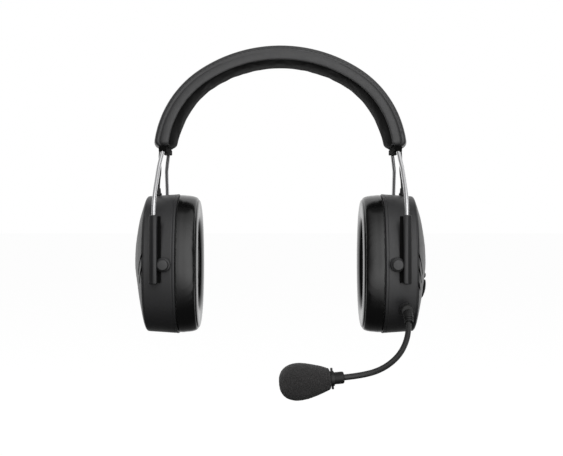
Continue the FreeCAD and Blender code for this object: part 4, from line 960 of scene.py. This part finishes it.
# ---- gooseneck
BOOM_ROUTE = [
    (91.0, -42.0, -182.6),
    (91.2, -51.5, -193.1),
    (84.8, -64.8, -207.1),
    (72.5, -77.2, -216.1),
    (57.0, -87.0, -220.3),
    (41.5, -90.6, -221.2),
]
GOOSENECK_RADIUS = 2.0


def joint_named(name):
    return next(j for j in frame["joints"] if j["name"] == name)


def make_gooseneck():
    """Two rubber skins along the boom's smooth route, round its two bends, that meet in the middle run."""
    route = smooth_route(BOOM_ROUTE)
    middle = nearest(route, (Vector(BOOM_ROUTE[2]) + Vector(BOOM_ROUTE[3])) * MM / 2)
    pieces = (
        ("gooseneck_root", route[:middle + 1], "boom_root", "boom_mid", "boom_bend", ["boom_tube_root"]),
        ("gooseneck_tip", route[middle:], "boom_mid", "boom_tip", "boom_tip_bend",
         ["boom_tube_mid", "boom_tube_tip"]),
    )
    for name, run, near_body, far_body, joint, nodes in pieces:
        piece = tube(name, run, GOOSENECK_RADIUS, 20)
        dress(piece, "boom_rubber")
        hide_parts(*nodes)
        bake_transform(piece)


make_gooseneck()


# ---- link cables
CABLE_RADIUS = 0.9
CABLE_OUT = 73.6           # the cable's distance from the shoulder arc's centre at the band's end
CABLE_UPPER = 8.0          # length over which the cable passes from band to arm, and slider to cup
CABLE_LOWER = 9.0
CABLE_ROUTE = [(92.0, 0, -69.5), (91.0, 0, -78.5), (92.6, 0, -88.5), (92.6, 0, -104.0)]


def make_link_cable(name, side):
    """Three lengths that meet end to end: band to arm, arm to slider, slider to cup."""
    start = SHOULDER_C + outward(BAND_END) * CABLE_OUT
    points = [start] + [Vector(p) for p in CABLE_ROUTE]
    route = [Vector((side * p.x, p.y, p.z)) for p in smooth_route(points)]
    top, bottom = route[0].z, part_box(name + "_cable_grommet")[1].z
    upper = min(range(len(route)), key=lambda i: abs(route[i].z - (top - CABLE_UPPER * MM)))
    lower = min(range(len(route)), key=lambda i: abs(route[i].z - (bottom + CABLE_LOWER * MM)))
    cuts = (
        ("upper", route[:upper + 1], "headband", name + "_arm"),
        ("middle", route[upper:lower + 1], name + "_arm", name + "_yoke"),
        ("lower", route[lower:], name + "_yoke", name + "_cup"),
    )
    for part, run, near_body, far_body in cuts:
        piece = tube(name + "_link_cable_" + part, run, CABLE_RADIUS, 14)
        dress(piece, "cable_jacket")
        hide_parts(name + "_link_cable")
        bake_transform(piece)


for side_name, side_sign in SIDES.items():
    make_link_cable(side_name, side_sign)


# ---- windscreen and its ring
MIC_DIR = Vector((-1.0, -0.10, -0.08)).normalized()
SCREEN_START = 8.9         # from the tube's end to the foam's flat neck
SCREEN_PROFILE = [
    (0.0, 5.0), (0.0, 6.4), (0.35, 7.0), (2.5, 7.8), (6.0, 9.1), (10.5, 10.5), (15.0, 11.6),
    (19.5, 12.2), (22.5, 12.2), (25.5, 11.7), (28.5, 10.5), (30.8, 8.8), (32.4, 6.5), (33.3, 4.0),
    (33.6, 1.6), (33.65, 0.1),
]
SCREEN_UNEVEN = ((6, 0.14), (0.9, 0.13))   # size and height of the foam's lumps and of its pores


def mic_at(along):
    return Vector(BOOM_ROUTE[-1]) + MIC_DIR * along


def make_windscreen():
    """Pear-shaped open-cell foam: turned, then roughened by its pores and slight lumps."""
    side = MIC_DIR.cross(Vector((0, 0, 1))).normalized()
    up = side.cross(MIC_DIR).normalized()
    rings = []
    for along, radius in catmull(SCREEN_PROFILE, 6, closed=False):
        middle = mic_at(SCREEN_START + along)
        rings.append([p * MM for p in circle(middle, side, up, radius, 96)])
    foam = skin("foam_windscreen", rings, sharp=180)
    remesh(foam, 0.55, 1)
    co = points_of(foam.data)
    normals = np.zeros(len(co) * 3)
    foam.data.vertices.foreach_get("normal", normals)
    normals = normals.reshape(-1, 3)
    for i, p in enumerate(co):
        lump = sum(noise.noise(Vector(p) / (size * MM)) * height for size, height in SCREEN_UNEVEN)
        co[i] += normals[i] * lump * MM
    set_points(foam.data, co)
    foam.data.shade_smooth()
    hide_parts("windscreen")
    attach(foam, "boom_tip")
    return dress(foam, "windscreen_foam")


make_windscreen()


# ---- sliders
ARM_X = 90.7
SLIDER_FOOT = 37.6         # the slider's inner face from the middle plane
SLIDER_TOP = -113.0
SLIDER_LENGTH = 49.6
PIVOT = (84.2, -148.8)
EAR_RADIUS = 5.3
EAR_THICK = 2.6
# sections as (outward from the wire, above the foot)
RIDGE = [
    (3.3, 0.0), (3.3, 4.1), (3.1, 4.5), (0.4, 6.05), (0.1, 6.15), (-2.2, 6.1), (-2.5, 5.8), (-2.5, 0.0),
]
# the thin near-black flange on the head side of the bar is painted shade of a recess beside the slider
SHADE_FLANGE = [(-2.4, 0.0), (-2.4, 0.4), (-4.3, 0.4), (-4.6, 0.25), (-4.7, 0.0)]
SHADE_FLANGE_SHORT = 0.8         # the flange stops this far before the bar's ends


def bar_rings(section, low, high, ease, side, face):
    """Rings of a bar that stands along Z with its ends eased."""
    middle_u = sum(u for u, v in section) / len(section)
    rings = []
    for k in range(9):
        turn = math.radians(22.5 * min(k, 4)) if k < 5 else math.radians(22.5 * (8 - k))
        inset = ease * (1 - math.sin(turn))
        z = low + ease * (1 - math.cos(turn)) if k < 5 else high - ease * (1 - math.cos(turn))
        ring = []
        for u, v in section:
            draw = max(1 - inset / 2.5, 0.2)
            ring.append(Vector((side * (ARM_X + middle_u + (u - middle_u) * draw),
                                face * (SLIDER_FOOT + v * (1 - inset / 6)), z)) * MM)
        rings.append(ring)
    return rings


def make_slider(name, side, face):
    """Ridged bar on the wire with the round ear of the cup's pivot, and beside it a thin near-black flange
    that is painted shade.
    """
    low = SLIDER_TOP - SLIDER_LENGTH
    ear = []
    for radius, above in ((EAR_RADIUS, 0.0), (EAR_RADIUS, EAR_THICK - 0.35), (EAR_RADIUS - 0.35, EAR_THICK)):
        ear.append([Vector((side * (PIVOT[0] + radius * math.cos(t)), face * (SLIDER_FOOT + above),
                            PIVOT[1] + radius * math.sin(t))) * MM
                    for t in (2 * math.pi * k / 48 for k in range(48))])
    bar = joined_rings(name + "_bar", [bar_rings(RIDGE, low, SLIDER_TOP, 0.9, side, face), ear])
    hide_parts(name)
    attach(bar, name.split("_")[0] + "_yoke")
    dress(bar, "slider_plastic")
    # painted shade: a thin near-black strip beside the bar
    shade_flange = joined_rings(name + "_flange", [bar_rings(SHADE_FLANGE, low + SHADE_FLANGE_SHORT,
                                                       SLIDER_TOP - SHADE_FLANGE_SHORT, 0.3, side, face)])
    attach(shade_flange, name.split("_")[0] + "_yoke")
    return dress(shade_flange, "clip_plastic")


for side_name, side_sign in SIDES.items():
    make_slider(side_name + "_slider_front", side_sign, -1)
    make_slider(side_name + "_slider_rear", side_sign, 1)


# ---- moulded parts with eased edges
EASED = {
    "left_end_clip": 0.4, "right_end_clip": 0.4, "left_pivot_pins": 0.25, "right_pivot_pins": 0.25,
    "left_cable_grommet": 0.2, "right_cable_grommet": 0.2, "boom_socket": 0.4, "boom_base": 0.3,
    "strain_relief": 0.15, "mic_body": 0.3, "retaining_ring": 0.25, "jog_dial": 0.1, "power_button": 0.15,
    "port_cover": 0.3,
}
for node_name, edge_width in EASED.items():
    eased(node_name, edge_width)


DIAL_OUT = 0.9             # how much further out the dial shows than it stands in the CAD


def shift_dial():
    dial = bpy.data.objects["jog_dial_eased"]
    axis = np.array(joint_named("dial_spin")["axis"])
    set_points(dial.data, points_of(dial.data) + axis * DIAL_OUT * MM)


shift_dial()


def smoothed(node):
    """The CAD part with an evenly smooth surface, for round wire."""
    piece = copy_of(node, node + "_round")
    shade(piece.data, 60)
    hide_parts(node)
    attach(piece, frame["nodes"][node]["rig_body"])
    return dress(piece, SLOT_OF[node])


# the moulded cap over the wire's cross bar at each end of the band, open below
CAP_X = (84.4, 90.1)
CAP_HALF_Y = 19.3
CAP_CORNER = 1.0
CAP_LEVELS = [(0.35, -62.2), (0.35, -65.5), (0.15, -65.7), (0.0, -65.5), (0.0, -62.1), (0.3, -61.8)]


def cap_ring(inset, z, side):
    """Rounded rectangle round the cross bar, drawn in by inset."""
    middle = (CAP_X[0] + CAP_X[1]) / 2
    half_x, half_y = (CAP_X[1] - CAP_X[0]) / 2 - inset, CAP_HALF_Y - inset
    corner = CAP_CORNER - inset
    ring = []
    for k in range(24):
        turn = math.pi / 2 * (k // 6) + math.pi / 2 * (k % 6) / 5
        ux = 1 if k // 6 in (0, 3) else -1
        uy = 1 if k // 6 in (0, 1) else -1
        ring.append(Vector((side * (middle + ux * (half_x - corner) + corner * math.cos(turn)),
                            uy * (half_y - corner) + corner * math.sin(turn), z)) * MM)
    return ring


def make_clip_cap(name, side):
    cap = skin(name + "_clip_cap", [cap_ring(inset, z, side) for inset, z in CAP_LEVELS])
    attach(cap, "headband")
    return dress(cap, "clip_plastic")


for side_name, side_sign in SIDES.items():
    smoothed(side_name + "_wire_yoke")
    make_clip_cap(side_name, side_sign)


# ---- stage and light
FLOOR_Z = -0.300
FLOOR_REACH = 30.0
FLOOR_GREY = 0.12
FLOOR_LIFT = 0.97          # glow that the camera sees on the floor, over its lit grey
AMBIENT = 0.09             # strength of the world for all but camera rays and mirrored rays
ROOM_DARK = 0.01           # what gloss mirrors in the dark half of the room
GLOW = 2.0                 # what gloss mirrors in the middle of the softbox in front
# where the room's tones change, as ranges of the x, y or z of a direction
BOX_LEFT = (-0.85, 0.30)
BOX_RIGHT = (0.55, 0.90)
BOX_LOW = (-0.75, -0.15)
BOX_HIGH = (0.30, 0.95)
BOX_HIGH_SHARE = 0.4       # what is left of the softbox at the end of that range
BOX_TOP = (0.93, 1.0)
BOX_FRONT = (-0.1, 0.2)
WHITE_BEHIND = (0.0, 0.5)
WHITE_LOW = (-0.8, -0.25)
WHITE_LOW_SHARE = 0.08     # what is left of the white where rays go steeply down
CENTRE = (0.0, 0.0, CAMERA_Z)
# lamps as name, place, size and power
LAMPS = [
    ("front_softbox", (0.0, -1.05, 0.40), (0.9, 0.9), 9.5),
    ("top_softbox", (0.0, -0.25, 0.95), (0.8, 0.5), 1.5),
]


class Wiring:
    """Short calls that add math nodes to a node tree."""

    def __init__(self, tree):
        self.nodes, self.links = tree.nodes, tree.links

    def feed(self, value, socket):
        if isinstance(value, (int, float)):
            socket.default_value = value
        else:
            self.links.new(value, socket)

    def math(self, operation, a, b=0.0):
        node = self.nodes.new("ShaderNodeMath")
        node.operation = operation
        self.feed(a, node.inputs[0])
        self.feed(b, node.inputs[1])
        return node.outputs[0]

    def ramp(self, value, start, end, low, high):
        node = self.nodes.new("ShaderNodeMapRange")
        node.interpolation_type = "SMOOTHSTEP"
        for socket, number in (("From Min", start), ("From Max", end), ("To Min", low), ("To Max", high)):
            node.inputs[socket].default_value = number
        self.links.new(value, node.inputs["Value"])
        return node.outputs["Result"]

    def mirrored_rays(self, path):
        """1 for rays that gloss or glass sends out, 0 for others."""
        return self.math("MAXIMUM", path.outputs["Is Glossy Ray"], path.outputs["Is Transmission Ray"])

    def room(self, direction):
        """What gloss mirrors in each direction: white behind, a wide softbox in front, dark sides."""
        split = self.nodes.new("ShaderNodeSeparateXYZ")
        self.links.new(direction, split.inputs[0])
        x, y, z = (split.outputs[axis] for axis in "XYZ")
        across = self.math("MULTIPLY", self.ramp(x, *BOX_LEFT, 0, 1), self.ramp(x, *BOX_RIGHT, 1, 0))
        low = self.ramp(z, *BOX_LOW, 0, 1)
        high = self.math("MULTIPLY", self.ramp(z, *BOX_HIGH, 1, BOX_HIGH_SHARE),
                         self.ramp(z, *BOX_TOP, 1, 0))
        softbox = self.math("MULTIPLY", across, self.math("MULTIPLY", low, high))
        front = self.math("MULTIPLY", softbox, self.ramp(y, *BOX_FRONT, GLOW, 0))
        behind = self.math("MULTIPLY", self.ramp(y, *WHITE_BEHIND, ROOM_DARK, 1.0),
                           self.ramp(z, *WHITE_LOW, WHITE_LOW_SHARE, 1))
        return self.math("MAXIMUM", front, behind)


def pale_material():
    """Matt floor that shows white to the camera and the room's tones to gloss, and keeps the shadow."""
    material = bpy.data.materials.new("pale_floor")
    material.use_nodes = True
    wiring = Wiring(material.node_tree)
    shader = wiring.nodes["Principled BSDF"]
    shader.inputs["Base Color"].default_value = (FLOOR_GREY, FLOOR_GREY, FLOOR_GREY, 1)
    shader.inputs["Roughness"].default_value = 0.9
    shader.inputs["Specular IOR Level"].default_value = 0.0
    path = wiring.nodes.new("ShaderNodeLightPath")
    place = wiring.nodes.new("ShaderNodeNewGeometry")
    away = wiring.nodes.new("ShaderNodeVectorMath")
    away.operation = "SUBTRACT"
    away.inputs[1].default_value = (0, 0, CUP_Z * MM)
    wiring.links.new(place.outputs["Position"], away.inputs[0])
    turned = wiring.nodes.new("ShaderNodeVectorMath")
    turned.operation = "NORMALIZE"
    wiring.links.new(away.outputs[0], turned.inputs[0])
    mirrored = wiring.math("MULTIPLY", wiring.mirrored_rays(path), wiring.room(turned.outputs[0]))
    seen = wiring.math("MULTIPLY", path.outputs["Is Camera Ray"], FLOOR_LIFT)
    shader.inputs["Emission Color"].default_value = (1, 1, 1, 1)
    wiring.links.new(wiring.math("MAXIMUM", mirrored, seen), shader.inputs["Emission Strength"])
    return material


def make_stage():
    mesh = bpy.data.meshes.new("floor")
    corners = [(x * FLOOR_REACH, y * FLOOR_REACH, FLOOR_Z) for x, y in ((-1, -1), (1, -1), (1, 1), (-1, 1))]
    mesh.from_pydata(corners, [], [(0, 1, 2, 3)])
    floor = add_object("floor", mesh)
    mesh.materials.append(pale_material())


def make_world():
    """White to the camera; gloss mirrors white behind the object, a wide softbox in front and dark sides."""
    world = bpy.data.worlds.new("studio")
    scene.world = world
    world.use_nodes = True
    wiring = Wiring(world.node_tree)
    background = wiring.nodes["Background"]
    path = wiring.nodes.new("ShaderNodeLightPath")
    place = wiring.nodes.new("ShaderNodeTexCoord")
    room = wiring.room(place.outputs["Generated"])
    mirrored = wiring.math("MULTIPLY", wiring.mirrored_rays(path), room)
    lit = wiring.math("MAXIMUM", mirrored, AMBIENT)
    wiring.links.new(wiring.math("MAXIMUM", lit, path.outputs["Is Camera Ray"]),
                     background.inputs["Strength"])
    background.inputs["Color"].default_value = (1, 1, 1, 1)


def area_light(name, location, size, power):
    data = bpy.data.lights.new(name, "AREA")
    data.shape = "RECTANGLE"
    data.size, data.size_y = size
    data.energy = power
    lamp = bpy.data.objects.new(name, data)
    lamp.location = location
    lamp.rotation_euler = (Vector(CENTRE) - Vector(location)).to_track_quat("-Z", "Y").to_euler()
    lamp.visible_glossy = False
    scene.collection.objects.link(lamp)


make_stage()
make_world()
for lamp in LAMPS:
    area_light(*lamp)
